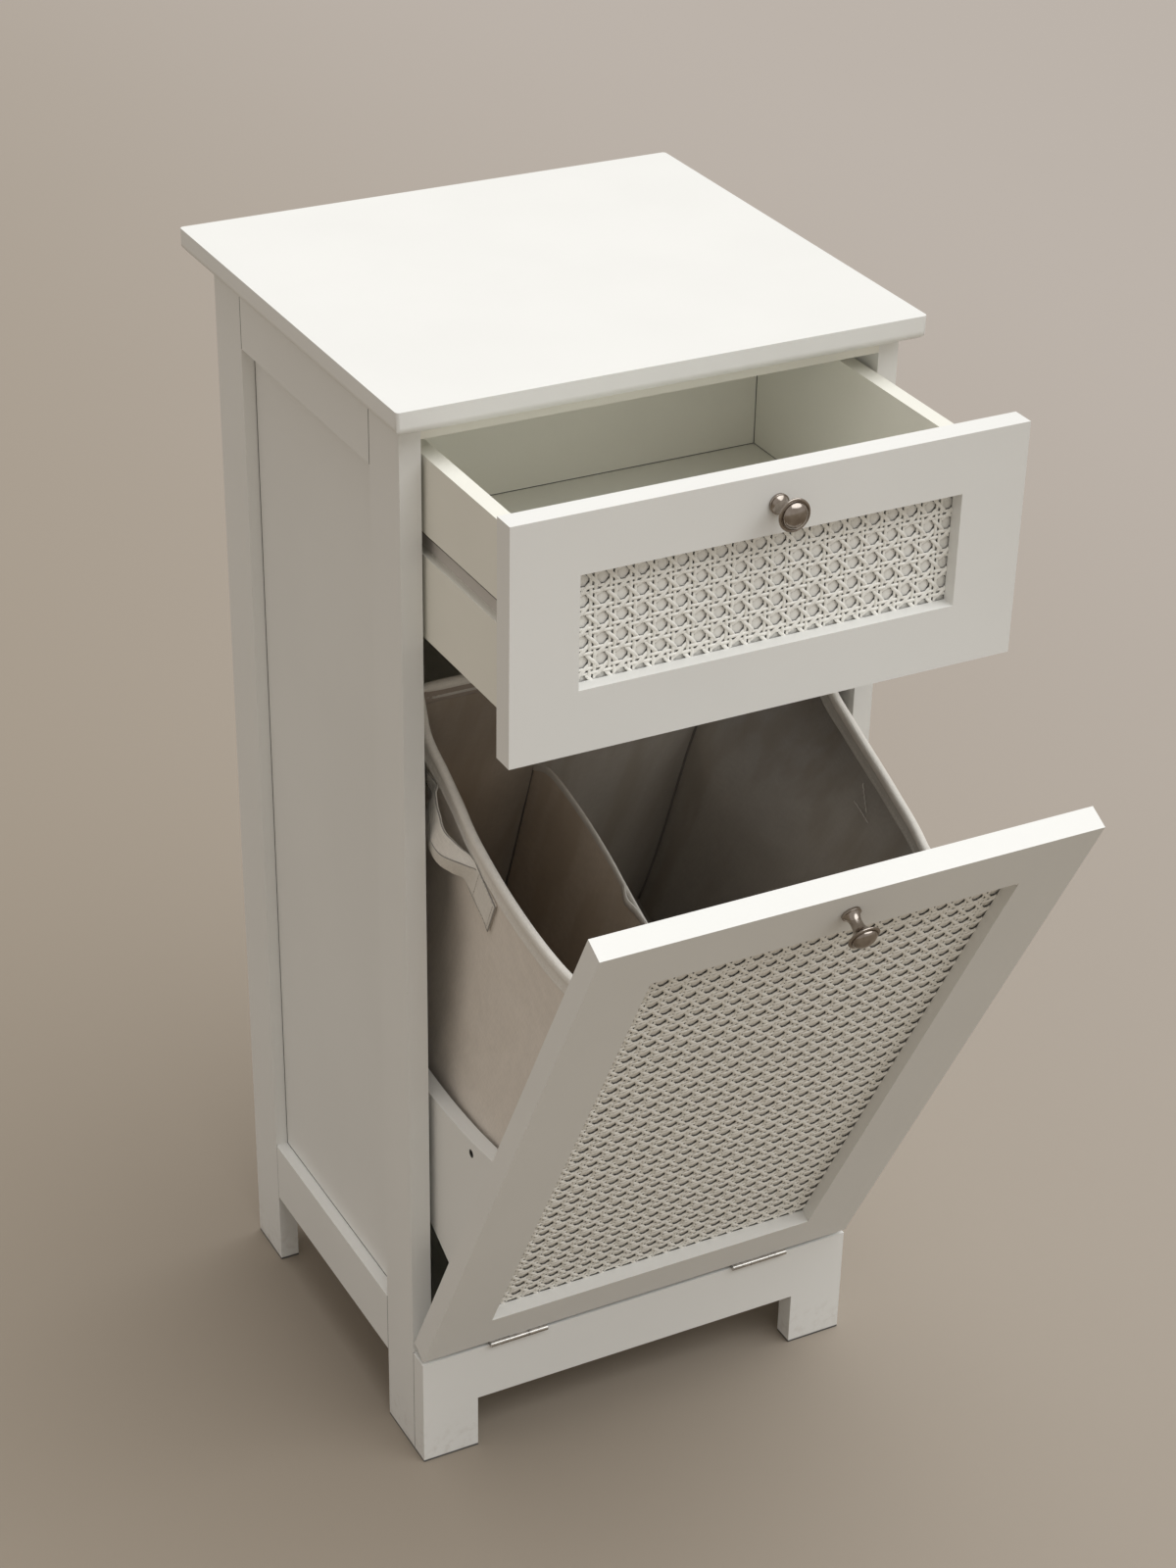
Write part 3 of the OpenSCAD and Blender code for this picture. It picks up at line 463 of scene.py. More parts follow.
def woven_cloth(name, colour, pitch, depth, mottle=0.06, fold_shade=0.0, shade_and_tints=()):
    """Plain-weave cloth: crossing threads of a little uneven tone and thickness, with long upright bands of
    painted fold shade and tints, painted shade among them.
    """
    finish = Finish(name, Sheen_Weight=0.12, Sheen_Roughness=0.5, Specular_IOR_Level=0.2)
    wander = finish.noise(60, 2) * 1.4
    x, y, z = ((axis * (2 * math.pi / pitch) + wander).sine() for axis in finish.axes())
    slubs = finish.noise(620, 3, (1, 1, 0.2))
    cross_slubs = finish.noise(620, 3, (0.2, 0.2, 1))
    clouds = finish.noise(16, 4)
    weave = (x + y + z) / 6 + 0.5
    uneven = slubs * 0.4 + cross_slubs * 0.4 + clouds * 0.2
    tone = finish.mix(shade(colour, 1 - mottle), shade(colour, 1 + mottle), uneven.ramp(0.3, 0.7))
    # long upright bands of painted shade, standing in for the shade of soft folds; warm holds their darker
    # colour
    if fold_shade:
        warm = [channel * (1 - loss * fold_shade) for channel, loss in zip(colour, (1, 1.2, 1.5))]
        tone = finish.mix(tone, shade(warm), finish.noise(34, 3, (1, 1, 0.12)).ramp(0.42, 0.66))
    tone = finish.mix(tone, shade(colour, 0.78), (1 - weave) * 0.3)
    soft = finish.bump(clouds, 0.002)
    normal = finish.bump(weave + uneven * 0.6, depth, soft)
    return finish.done(finish.tinted_and_shaded(tone, shade_and_tints), 0.82 + uneven * 0.12, normal)


def sewing_thread(name, colour):
    """Twisted sewing thread."""
    finish = Finish(name, roughness=0.7, Sheen_Weight=0.2)
    twist = finish.noise(2400, 2)
    tone = finish.mix(shade(colour, 0.85), shade(colour, 1.1), twist)
    return finish.done(tone, normal=finish.bump(twist, 0.00005))


def pale_floor(name, colour, shaded_side, bounce):
    """A plain pale studio floor with painted shade towards one side, which throws back less light than it
    shows.
    """
    finish = Finish(name, roughness=0.75, Specular_IOR_Level=0.25)
    clouds = finish.noise(2.2, 5)
    x, y, _ = finish.axes()
    # painted shade: the floor's tone falls towards its shaded side at low x, where the light would dim
    tone = finish.mix(shade(shaded_side), shade(colour), x.ramp(-0.6, 2.0) * 0.96 + clouds * 0.04)
    tone = finish.mix(tone, shade(colour, 0.96), (x * x + y * y).ramp(16, 90))
    seen = finish.node("ShaderNodeLightPath").outputs["Is Camera Ray"]
    return finish.done(finish.mix(shade(bounce), tone, seen))


# What a user would change


def colour_property(name, description, default):
    return bpy.props.FloatVectorProperty(
        name=name, description=description, default=default, size=3, min=0, max=1, subtype="COLOR"
    )


def length_property(name, description, default, low, high):
    return bpy.props.FloatProperty(
        name=name, description=description, default=default, min=low, max=high, precision=4, unit="LENGTH"
    )


def number_property(name, description, default, high, **settings):
    return bpy.props.FloatProperty(
        name=name, description=description, default=default, min=0, max=high, **settings
    )


class CABINET_PG_boards(bpy.types.PropertyGroup):
    """Paint and edges of the boards"""

    paint: colour_property("Paint", "Colour of the painted outside", (0.83, 0.83, 0.805))
    inside: colour_property("Inside paint", "Colour of the painted inside", (0.87, 0.86, 0.785))
    fibreboard: colour_property("Hardboard", "Colour of the thin boards", (0.82, 0.805, 0.735))
    wood: colour_property("Beech", "Colour of the bare beech", (0.62, 0.42, 0.25))
    dark_wood: colour_property("Beech grain", "Colour of the beech's grain", (0.44, 0.27, 0.14))
    # painted shade: the darker tint of the groove's floor, where shade falls in it
    groove: colour_property("Groove", "Tint of the floor of the drawer's grooves", (0.72, 0.69, 0.71))
    edge: length_property("Edge", "Rounding of the boards' edges", 0.0008, 0.0002, 0.003)
    top_edge: length_property("Top edge", "Rounding of the top board's edges", 0.0028, 0.0005, 0.004)
    front_edge: length_property("Front edge", "Rounding of the fronts' edges", 0.0011, 0.0003, 0.002)
    peel: length_property("Orange peel", "Height of the paint's dimples", 0.000018, 0, 0.0002)
    # the same half width sets the painted shade lines in recessed corners, round the windows and along the
    # grooves
    joint: length_property("Joint lines", "Half the width of the dark lines at the joints", 0.0009, 0, 0.002)


class CABINET_PG_cane(bpy.types.PropertyGroup):
    """The woven cane in the windows"""

    colour: colour_property("Cane", "Colour of the painted strands", (0.95, 0.94, 0.89))
    door_backing: colour_property("Door backing", "Colour behind the door's cane", (0.9, 0.88, 0.815))
    # painted light: the drawer's backing is lighter than the door's, to brighten its shaded holes
    lightened_drawer_backing: colour_property("Drawer backing", "Colour behind the drawer's cane", (0.985, 0.975, 0.92))
    pitch: length_property("Pitch", "Distance between two holes", 0.0145, 0.008, 0.02)
    pair: length_property("Pair", "Distance of a strand from the middle of its pair", 0.00178, 0.001, 0.003)
    strand: length_property("Strand", "Width of the upright and level strands", 0.00262, 0.001, 0.003)
    slant: length_property("Slanting strand", "Width of the slanting strands", 0.0028, 0.001, 0.0035)
    thick: length_property("Thickness", "Thickness of a strand", 0.00095, 0.0003, 0.0012)
    step: length_property("Step", "Distance between the rings of a strand", 0.0024, 0.001, 0.004)
    tucked: length_property("Tucked", "How far the web reaches past the window", 0.003, 0.001, 0.006)


class CABINET_PG_metal(bpy.types.PropertyGroup):
    """Knobs, hinges and screws"""

    nickel: colour_property("Nickel", "Colour of the knobs", (0.42, 0.375, 0.335))
    tarnish: colour_property("Tarnish", "Colour of the knobs' darker patches", (0.27, 0.225, 0.19))
    zinc: colour_property("Zinc", "Colour of the hinges and screws", (0.6, 0.58, 0.55))
    head: length_property("Head", "Radius of a knob's head", 0.0118, 0.01, 0.016)
    neck: length_property("Neck", "Radius of a knob's neck", 0.0042, 0.0035, 0.005)
    foot: length_property("Rosette", "Radius of a knob's rosette", 0.0072, 0.006, 0.009)
    rim: length_property("Rim", "Height of the rim of a knob's head", 0.021, 0.018, 0.026)
    dome: length_property("Dome", "Height of a knob's dome above its rim", 0.005, 0.003, 0.007)
    edge: length_property("Edge", "Rounding of the hinges' and screws' edges", 0.00012, 0.00005, 0.0003)


class CABINET_PG_bag(bpy.types.PropertyGroup):
    """The laundry bag"""

    cloth: colour_property("Cloth", "Colour of the bag's outside", (0.76, 0.7, 0.63))
    lining: colour_property("Lining", "Colour of the bag's inside", (0.53, 0.5, 0.457))
    warm_side: colour_property("Warm side", "Tint of the lining on the left", (1.0, 0.9, 0.8))
    # painted shade: the lining darkened near the rim and towards the right wall's back, where shade falls
    # inside the bag
    rim_shade: colour_property("Rim side", "Tint of the lining near the rim", (0.66, 0.66, 0.67))
    parting: colour_property("Divider cloth", "Colour of the divider", (0.66, 0.58, 0.49))
    trim: colour_property("Trim", "Colour of the binding and straps", (0.75, 0.72, 0.667))
    # painted shade: the hem is the binding tape darkened where shade falls at the top of the back wall
    hem: colour_property("Hem", "Colour of the hem at the back", (0.35, 0.295, 0.255))
    thread: colour_property("Thread", "Colour of the stitches", (0.62, 0.59, 0.54))
    half_width: length_property("Half width", "Distance of the sides from the middle", 0.1575, 0.1, 0.159)
    front: length_property("Front", "Depth of the front wall", 0.0212, 0.0205, 0.03)
    back: length_property("Back", "Depth of the back wall", 0.2985, 0.25, 0.2996)
    floor: length_property("Floor", "Height of the bag's floor", 0.0962, 0.0955, 0.11)
    front_rim: length_property("Front rim", "Height of the rim at the door", 0.497, 0.45, 0.53)
    dip_rim: length_property("Dip", "Height of the rim where it is lowest", 0.427, 0.4, 0.45)
    dip_depth: length_property("Dip depth", "Depth of the rim's lowest place", 0.235, 0.18, 0.25)
    back_rim: length_property("Back rim", "Height of the rim at the back", 0.486, 0.45, 0.5)
    cloth_t: length_property("Thickness", "Thickness of the cloth", 0.0014, 0.0008, 0.0025)
    pull_right: length_property("Pull right", "Inward pull of the right side at the back", 0.067, 0, 0.08)
    pull_left: length_property("Pull left", "Inward pull of the left side at the back", 0.02, 0, 0.08)
    divider: length_property("Divider", "Distance of the divider from the middle", 0.03, 0, 0.06)
    fold: length_property("Folds", "Height of the soft folds", 0.0032, 0, 0.006)
    weave: length_property("Weave", "Distance between two threads", 0.0009, 0.0005, 0.002)


class CABINET_PG_stage(bpy.types.PropertyGroup):
    """Floor, light and camera"""

    floor: colour_property("Floor", "Colour of the floor's lighter side", (0.43, 0.388, 0.352))
    # painted shade: the colour that the floor fades to on its shaded side
    shaded_side: colour_property("Dim side", "Colour of the floor's darker side", (0.315, 0.268, 0.213))
    bounce: colour_property("Bounce", "Colour of the light that the floor throws back", (0.255, 0.22, 0.175))
    sky: colour_property("Sky", "Colour of the soft light all round", (1.0, 0.93, 0.86))
    sky_power: number_property("Sky strength", "Strength of the light all round", 0.51, 2)
    lamp: colour_property("Lamp colour", "Colour of the soft lamp above", (0.95, 0.98, 1.0))
    lamp_power: number_property("Lamp", "Strength of the soft lamp above", 2.38, 10)
    lamp_spread: number_property("Lamp width", "Width of the lamp as an angle", 1.25, 2, subtype="ANGLE")


GROUPS = {
    "cabinet_boards": CABINET_PG_boards,
    "cabinet_cane": CABINET_PG_cane,
    "cabinet_metal": CABINET_PG_metal,
    "cabinet_bag": CABINET_PG_bag,
    "cabinet_stage": CABINET_PG_stage,
}


# Boards


def node_slot(name):
    """The record's material slot of a CAD node."""
    return NODES[name].material_slots[0].material.name


def dress(name, finish, width, segments=2):
    """Gives a CAD node its finish and softly rounded edges."""
    piece = NODES[name]
    for place in piece.material_slots:
        place.material = finish
    corner = math.radians(40)
    modify(piece, "weld", "WELD", merge_threshold=0.00001)
    modify(piece, "flat", "DECIMATE", decimate_type="DISSOLVE", angle_limit=math.radians(0.5))
    modify(piece, "edges", "BEVEL", width=width, segments=segments, limit_method="ANGLE", angle_limit=corner)
    piece.data.polygons.foreach_set("use_smooth", [True] * len(piece.data.polygons))
    modify(piece, "normals", "WEIGHTED_NORMAL", weight=100, keep_sharp=False)


def window_line(body, half_width):
    """A painted shade line round a body's window, where the cane meets the window's edge, in the row's
    places.
    """
    place, past = PLACES[body], 0.0002
    inwards, upwards = (place.to_3x3() @ Vector(way) for way in (BACK, UP))
    low, high = (upwards @ (place @ Vector((0, CANE_DEPTH, height))) for height in WINDOWS[body])
    face = inwards @ (place @ Vector((0, CANE_DEPTH, 0)))
    ranges = [(OUT, -WINDOW_X - past, WINDOW_X + past), (tuple(upwards), low - past, high + past)]
    return (tuple(inwards), face, half_width, ranges)


def outer_face(name, side, depth):
    """The range, outwards to that side, that holds a board's outer face down to a depth."""
    face = max(abs(corner.x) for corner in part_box(name))
    return ((side, 0, 0), face - depth, face + 0.001)


def board_marks(sizes):
    """The joints, holes and stains of the boards that have some."""
    wide, narrow = sizes.joint, sizes.joint * 0.7
    side_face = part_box("drawer_back")[1].x
    inside = [(OUT, -side_face - 0.0002, side_face + 0.0002)]
    foot_line = (UP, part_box("drawer_bottom")[1].z, wide, inside)
    back_line = (BACK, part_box("drawer_back")[0].y, narrow, inside)
    corner_lines = [(OUT, side * side_face, narrow, []) for side, _ in reversed(SIDES)]
    # a dark band along the bottom edge of the feet and the base board
    bottom_band = (UP, 0.0, wide * 2.6, [])
    marks = {
        "drawer_back": {"joints": [foot_line, *corner_lines]},
        "drawer_front": {"joints": [window_line("drawer", narrow)]},
        "door_frame": {"joints": [window_line("door", narrow)]},
        "base_board": {"joints": [bottom_band]},
    }
    low, high = (corner.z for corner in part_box("left_drawer_runner"))
    for side, name in SIDES:
        # painted shade on the floor of the groove in the drawer's side, and a painted shadow line along its
        # upper edge
        groove = ((side, 0, 0), side_face + 0.003, side_face + 0.1)
        groove_shade = [(*groove, 0.0002), (UP, low - 0.001, high + 0.001, 0.0002)]
        marks[f"drawer_{name}_side"] = {
            "joints": [foot_line, back_line, (UP, high + 0.0006, narrow, [groove])],
            "shade_and_tints": [(sizes.groove, groove_shade)],
        }
        # a dark ring painted round each tie hole: painted shade of the hole's inside
        marks[f"tray_{name}_cheek"] = {"holes": [TIE_HOLE_SHADE]}
        # the thin lines where the boards of the cabinet's side meet: dark joints at the rails' and the base
        # board's ends, and round the recessed panel partly joints, partly painted shade in its corners; and a
        # dark band along the bottom edge of its feet
        on_panel = [outer_face(name + "_side_panel", side, 0.0004)]
        on_post = [outer_face(name + "_front_post", side, 0.0009)]
        start, before = (corner.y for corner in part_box(name + "_front_post"))
        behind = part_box(name + "_back_post")[0].y
        joints = {
            "_side_panel": [
                (BACK, behind, wide * 1.3, on_panel),
                (BACK, before, narrow, on_panel),
                (UP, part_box(name + "_bottom_rail")[1].z, wide * 1.2, on_panel),
                (UP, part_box(name + "_top_rail")[0].z, narrow, on_panel),
            ],
            "_top_rail": [(BACK, before, wide * 1.4, on_post), (BACK, behind, wide * 1.4, on_post)],
            "_bottom_rail": [(BACK, before, wide, on_post), (BACK, behind, narrow, on_post)],
            "_front_post": [bottom_band],
            "_back_post": [bottom_band],
        }
        marks.update({name + part: {"joints": lines} for part, lines in joints.items()})
        marks["base_board"]["joints"].append((BACK, start, wide * 1.2, on_post))
    return marks


class CABINET_OT_boards(bpy.types.Operator):
    """Paint the boards and round their edges"""

    bl_idname = "cabinet.boards"
    bl_label = "Paint the boards"

    def execute(self, context):
        sizes = context.scene.cabinet_boards
        paints = {
            "white_paint": (sizes.paint, sizes.peel, 0.012),
            "inside_paint": (sizes.inside, sizes.peel * 2, 0.02),
        }
        finishes = {
            "white_paint": satin_paint("white satin paint", *paints["white_paint"]),
            "inside_paint": satin_paint("inside satin paint", *paints["inside_paint"]),
            "hardboard": painted_fibreboard("painted hardboard", sizes.fibreboard),
            "beech": beech("bare beech", sizes.wood, sizes.dark_wood),
        }
        edges = {
            "top_board": (sizes.top_edge, 4),
            "drawer_front": (sizes.front_edge, 3),
            "door_frame": (sizes.front_edge, 3),
        }
        marks = board_marks(sizes)
        for name, slot in [(name, node_slot(name)) for name in sorted(NODES)]:
            if slot not in finishes:
                continue
            finish = finishes[slot]
            if name in marks:
                finish = satin_paint(name.replace("_", " ") + " paint", *paints[slot], **marks[name])
            dress(name, finish, *edges.get(name, (sizes.edge, 2)))
        return {"FINISHED"}


# Cane


def crossing_levels(line, others, side, over, sizes):
    """Levels where a strand of a pair crosses the other pairs and the slanting strands."""
    keys = []
    for j in others:
        for k, offset in enumerate((-sizes.pair, sizes.pair)):
            sign = over if (line + j + side + k) % 2 else -over
            keys.append((j * sizes.pitch + offset, sign * 0.5))
        keys.append((j * sizes.pitch + sizes.pitch / 2, 0.0))
    return keys


def eased(keys, at):
    """The level between two keys, eased at both ends."""
    places = [key[0] for key in keys]
    i = int(np.clip(np.searchsorted(places, at) - 1, 0, len(keys) - 2))
    share = smoothstep(places[i], places[i + 1], at)
    return keys[i][1] + (keys[i + 1][1] - keys[i][1]) * share


def web_strands(window, sizes):
    """The middle lines of a web's strands as rows of (x, up, level), and their widths."""
    half, pitch = WINDOW_X + sizes.tucked, sizes.pitch
    low, high = window[0] - sizes.tucked, window[1] + sizes.tucked
    first_x = -WINDOW_X + 0.001
    first_up = window[0] + pitch * 0.42
    columns = range(-1, math.ceil(2 * half / pitch) + 1)
    rows = range(-2, math.ceil((high - low) / pitch) + 1)
    strands = []
    # the upright pairs, then the level ones, whose two numbers change places
    uprights = (columns, rows, first_x, first_up, (-half, half), (low, high), 1)
    levels = (rows, columns, first_up, first_x, (low, high), (-half, half), -1)
    for lines, others, first, other_first, limits, ends, over in (uprights, levels):
        for line in lines:
            for side, offset in enumerate((-sizes.pair, sizes.pair)):
                at = first + line * pitch + offset
                if not limits[0] <= at <= limits[1]:
                    continue
                keys = crossing_levels(line, others, side, over, sizes)
                run = np.linspace(*ends, max(2, round((ends[1] - ends[0]) / sizes.step)) + 1)
                places = [((at, to)[::over], eased(keys, to - other_first)) for to in run]
                strands.append(([(x, up, level) for (x, up), level in places], sizes.strand))
    reach = math.ceil((2 * half + high - low) / pitch) + 2
    for lean in (-1, 1):
        for k in range(-reach, reach):
            # up = lean * (x - first_x) + (k + 1/2) pitch + first_up
            shift = (k + 0.5) * pitch + first_up
            ends = sorted(((low - shift) * lean + first_x, (high - shift) * lean + first_x))
            start, stop = max(-half, ends[0]), min(half, ends[1])
            if stop - start < sizes.strand:
                continue
            xs = np.linspace(start, stop, max(1, round((stop - start) * math.sqrt(2) / sizes.step)) + 1)
            levels = -lean * np.cos(2 * math.pi * (xs - first_x) / pitch)
            points = [(x, lean * (x - first_x) + shift, level) for x, level in zip(xs, levels)]
            strands.append((points, sizes.slant))
    return strands


def web_mesh(window, sizes):
    """Crowned ribbons over and under each other, in the window's own places."""
    crown = mirrored(((-0.5, 0.95), (-0.46, 0.16), (-0.24, -0.36)), [(0.0, -0.44)])
    middle = WEB_BACK - 1.45 * sizes.thick
    parts = []
    for points, width in web_strands(window, sizes):
        path = np.array([(x, middle - level * sizes.thick, up) for x, up, level in points])
        sides = np.cross(along(path * (1, 0, 1)), BACK) * width
        parts.append(sweep(path, sides, (0, sizes.thick, 0), crown, closed_outline=False))
    return weld_pieces(parts)


class CABINET_OT_cane(bpy.types.Operator):
    """Weave the cane of the drawer's and the door's windows"""

    bl_idname = "cabinet.cane"
    bl_label = "Weave the cane"

    def execute(self, context):
        sizes = context.scene.cabinet_cane
        # the depths between which the weave gets its painted shade, and how dark it gets
        deep = (WEB_BACK - 0.00155, WEB_BACK - 0.0009)
        finish = painted_cane("white painted cane", sizes.colour, 0.04, *deep)
        # the drawer's backing is painted lighter than the door's: painted light in the shaded holes of its
        # cane
        backings = {"drawer": sizes.lightened_drawer_backing, "door": sizes.door_backing}
        for body, colour in backings.items():
            mesh = web_mesh(WINDOWS[body], sizes)
            new_piece(body + "_cane_web", mesh, [finish], body, [body + "_cane"])
            backing = painted_fibreboard(f"backing behind the {body}'s cane", colour)
            for held in NODES[body + "_cane_backing"].material_slots:
                held.material = backing
        return {"FINISHED"}


# Knobs, hinges and screws


def arc(middle, radii, start, stop, shares):
    """Places on a part of an ellipse; start and stop are in half turns."""
    turns = [math.pi * (start + (stop - start) * share) for share in shares]
    return [(middle[0] + radii[0] * math.cos(turn), middle[1] + radii[1] * math.sin(turn)) for turn in turns]


def knob_profile(sizes):
    """A turned mushroom knob as (radius, height) pairs, from its foot to the middle of its dome."""
    lip = 0.0008
    crisp = lip / 2
    foot_h = 0.0022
    neck_h = 0.008
    under = sizes.rim - 2 * lip
    low_w = sizes.foot - lip - sizes.neck
    high_w = sizes.head - lip - sizes.neck
    groove = sizes.head - 0.0022
    steps = [i / 14 for i in range(15)]
    profile = [(sizes.foot - 0.0002, 0.0), (sizes.foot, 0.0002), (sizes.foot, foot_h - crisp)]
    profile += arc((sizes.foot - crisp, foot_h - crisp), (crisp, crisp), 0, 0.5, (0.25, 0.5, 0.75, 1))
    profile.append((sizes.foot - lip, foot_h - 0.0001))
    profile += [(sizes.neck + low_w * (1 - t) ** 2, foot_h + (neck_h - foot_h) * t) for t in steps[1:]]
    profile += [(sizes.neck + high_w * t**3, neck_h + (under - neck_h) * t) for t in steps[1:]]
    profile += arc((sizes.head - lip, sizes.rim - lip), (lip, lip), -0.5, 0.5, [i / 9 for i in range(1, 9)])
    # the raised ring and the groove round the dome, as distances from the groove and the rim
    for out, rise in ((9, 2), (5, 0), (2, -5), (0, -7), (-3, -6)):
        profile.append((groove + out * 0.0001, sizes.rim + rise * 0.0001))
    profile += arc((0, sizes.rim), (groove - 0.0004, sizes.dome), 0, 0.5, steps[:-1])
    profile.append((0.00012, sizes.rim + sizes.dome))
    return profile


class CABINET_OT_knobs(bpy.types.Operator):
    """Turn the two knobs"""

    bl_idname = "cabinet.knobs"
    bl_label = "Turn the knobs"

    def execute(self, context):
        sizes = context.scene.cabinet_metal
        finish = brushed_nickel("brushed dark nickel", sizes.nickel, sizes.tarnish)
        points, faces = lathe(knob_profile(sizes), 72)
        # the knob's axis points out of the front, towards less depth
        for body, up in KNOB_UP.items():
            placed = [(x, -height, up + y) for x, y, height in points]
            new_piece(body + "_turned_knob", (placed, faces), [finish], body, [body + "_knob"])
        return {"FINISHED"}


class CABINET_OT_hardware(bpy.types.Operator):
    """Plate the hinges, screws and pins"""

    bl_idname = "cabinet.hardware"
    bl_label = "Plate the hinges and screws"

    def execute(self, context):
        sizes = context.scene.cabinet_metal
        finish = zinc_plate("bright zinc plate", sizes.zinc)
        for name in sorted(NODES):
            if node_slot(name) == "steel":
                dress(name, finish, sizes.edge)
        return {"FINISHED"}


# The laundry bag

# The bag's walls once round, with the number of columns of each
WALLS = {"front": 26, "right": 44, "back": 26, "left": 44}
# Distance of the rim from the middle at rising depths, on the left and on the right
RIM_OUT = {
    -1: (
        ((0.021, 0.16), (0.059, 0.1609), (0.085, 0.16), (0.119, 0.1587), (0.17, 0.1572), (0.208, 0.1564))
        + ((0.237, 0.1542), (0.257, 0.1556), (0.27, 0.1605), (0.28, 0.1672), (0.299, 0.1705))
    ),
    1: (
        ((0.021, 0.14), (0.05, 0.141), (0.084, 0.1458), (0.104, 0.1527), (0.124, 0.1576), (0.16, 0.163))
        + ((0.187, 0.165), (0.214, 0.1653), (0.235, 0.1648), (0.252, 0.1628), (0.28, 0.16), (0.299, 0.159))
    ),
}
# How far below the rim a side wall takes its own place, and where its pull towards the back begins
RIM_BAND = 0.085
PULL_BAND = 0.13
PULL_FROM = 0.11
# One half of the rim's folded tape as (out, rise), and its stitches' depth below the rim
HALF_TAPE = (
    ((0.0009, -0.0128), (0.0024, -0.0126), (0.0024, -0.0114), (0.0018, -0.01), (0.0016, -0.0046))
    + ((0.0018, -0.0034), (0.0029, -0.002), (0.0034, 0.0006), (0.0031, 0.003), (0.0018, 0.0048))
)
STITCHES_BELOW = 0.0098
# The length, gap, lift and radius of the stitches of the rim, of the straps' Vs and of the straps' squares
RIM_STITCH = (0.003, 0.0012, 0.0018, 0.00032)
V_STITCH = (0.0042, 0.0003, 0.0022, 0.00042)
SQUARE_STITCH = (0.0024, 0.001, 0.0002, 0.00022)
# The back hem's rows: height as a share of the wall's, and how far the row stands off it
HEM = (
    ((1.0, 0.0016), (0.999, 0.0024), (0.99, 0.0026), (0.975, 0.0026))
    + ((0.96, 0.0025), (0.955, 0.0022), (0.9545, 0.0014))
)
# The two legs of the V of a strap's stitches on the inside, each from one (depth, height) to another
STITCHED_V = (((0.1802, 0.4122), (0.1587, 0.4005)), ((0.1765, 0.3962), (0.1534, 0.3982)))
# The seams' radius, and how far their middles stand off the walls
SEAM_R = 0.0011
SEAM_INSET = 0.0016
# The divider's upper edge as (depth, height)
DIVIDER_TOP = (
    ((0.0225, 0.392), (0.05, 0.386), (0.09, 0.3812), (0.126, 0.3792), (0.147, 0.38), (0.167, 0.3814))
    + ((0.1906, 0.3836), (0.2233, 0.3834), (0.255, 0.3788), (0.2745, 0.373), (0.285, 0.3655))
    + ((0.2968, 0.3518),)
)
# The divider's seam on the back wall: its x at one height, and the slant of that line
DIVIDER_BACK = (-0.0328, 0.1826)
DIVIDER_SLANT = -0.0957
# One half of the divider's folded edge as (out, rise)
HALF_EDGE = ((-0.001, -0.0042), (-0.0014, -0.0036), (-0.0013, 0.0002), (-0.0006, 0.0012))
# The divider's small tab as (depth, height, out), and its flat section
TAB = (
    ((0.164, 0.38, 0.0008), (0.159, 0.3782, 0.0024), (0.153, 0.3772, 0.0038))
    + ((0.148, 0.377, 0.003), (0.142, 0.3776, 0.0018), (0.13, 0.3782, 0.001))
)
HALF_TAB = ((-0.0006, -0.0035), (-0.0007, 0.0), (-0.0004, 0.0035))
# The fastening tape's half length, its half thickness, its lower and upper edge and half its section
TAPE_HALF = 0.14
TAPE_HALF_T = 0.0011
TAPE_LOW, TAPE_HIGH = 0.4745, 0.4935
TAPE_SIDE = ((-0.8, -1), (-1, -0.9), (-1, 0.9), (-0.8, 1))
# Half a strap's thickness, the radius of the dark tubes painted as shadow lines along its edges, crease and
# end, and the depths between which it is slack
STRAP_HALF_T = 0.0012
STRAP_SHADOW_R = 0.0005
STRAP_SLACK = ((0.186, 0.2), (0.245, 0.262))
# A strap by rising depth: its upper edge, its crease and its lower edge as (out, height), where out is the
# distance from the bag's side
STRAP = (
    (0.152, (0.0006, 0.4190), (0.0006, 0.4180), (0.0006, 0.3875)),
    (0.168, (0.0006, 0.4195), (0.0008, 0.4185), (0.0006, 0.3885)),
    (0.183, (0.0008, 0.4200), (0.0016, 0.4185), (0.0008, 0.3880)),
    (0.190, (0.0014, 0.4195), (0.0040, 0.4160), (0.0010, 0.3880)),
    (0.198, (0.0026, 0.4185), (0.0078, 0.4115), (0.0020, 0.3875)),
    (0.206, (0.0050, 0.4180), (0.0112, 0.4065), (0.0056, 0.3870)),
    (0.213, (0.0074, 0.4175), (0.0134, 0.4025), (0.0100, 0.3870)),
    (0.220, (0.0098, 0.4170), (0.0142, 0.4000), (0.0126, 0.3870)),
    (0.227, (0.0098, 0.4180), (0.0138, 0.3990), (0.0128, 0.3870)),
    (0.234, (0.0086, 0.4190), (0.0118, 0.3990), (0.0114, 0.3870)),
    (0.241, (0.0078, 0.4190), (0.0098, 0.4000), (0.0098, 0.3870)),
    (0.252, (0.0050, 0.4190), (0.0060, 0.4020), (0.0062, 0.3870)),
    (0.262, (0.0014, 0.4190), (0.0020, 0.4030), (0.0020, 0.3870)),
    (0.272, (0.0006, 0.4190), (0.0006, 0.4030), (0.0006, 0.3870)),
)


def bag_piece(name, mesh, finishes, stands_for=()):
    """A piece of the bag, which rides on the door."""
    return new_piece(name, mesh, finishes, "door", stands_for)


def soften(piece):
    """Rounds a piece of cloth by one step."""
    modify(piece, "soft corners", "SUBSURF", levels=1, render_levels=1)


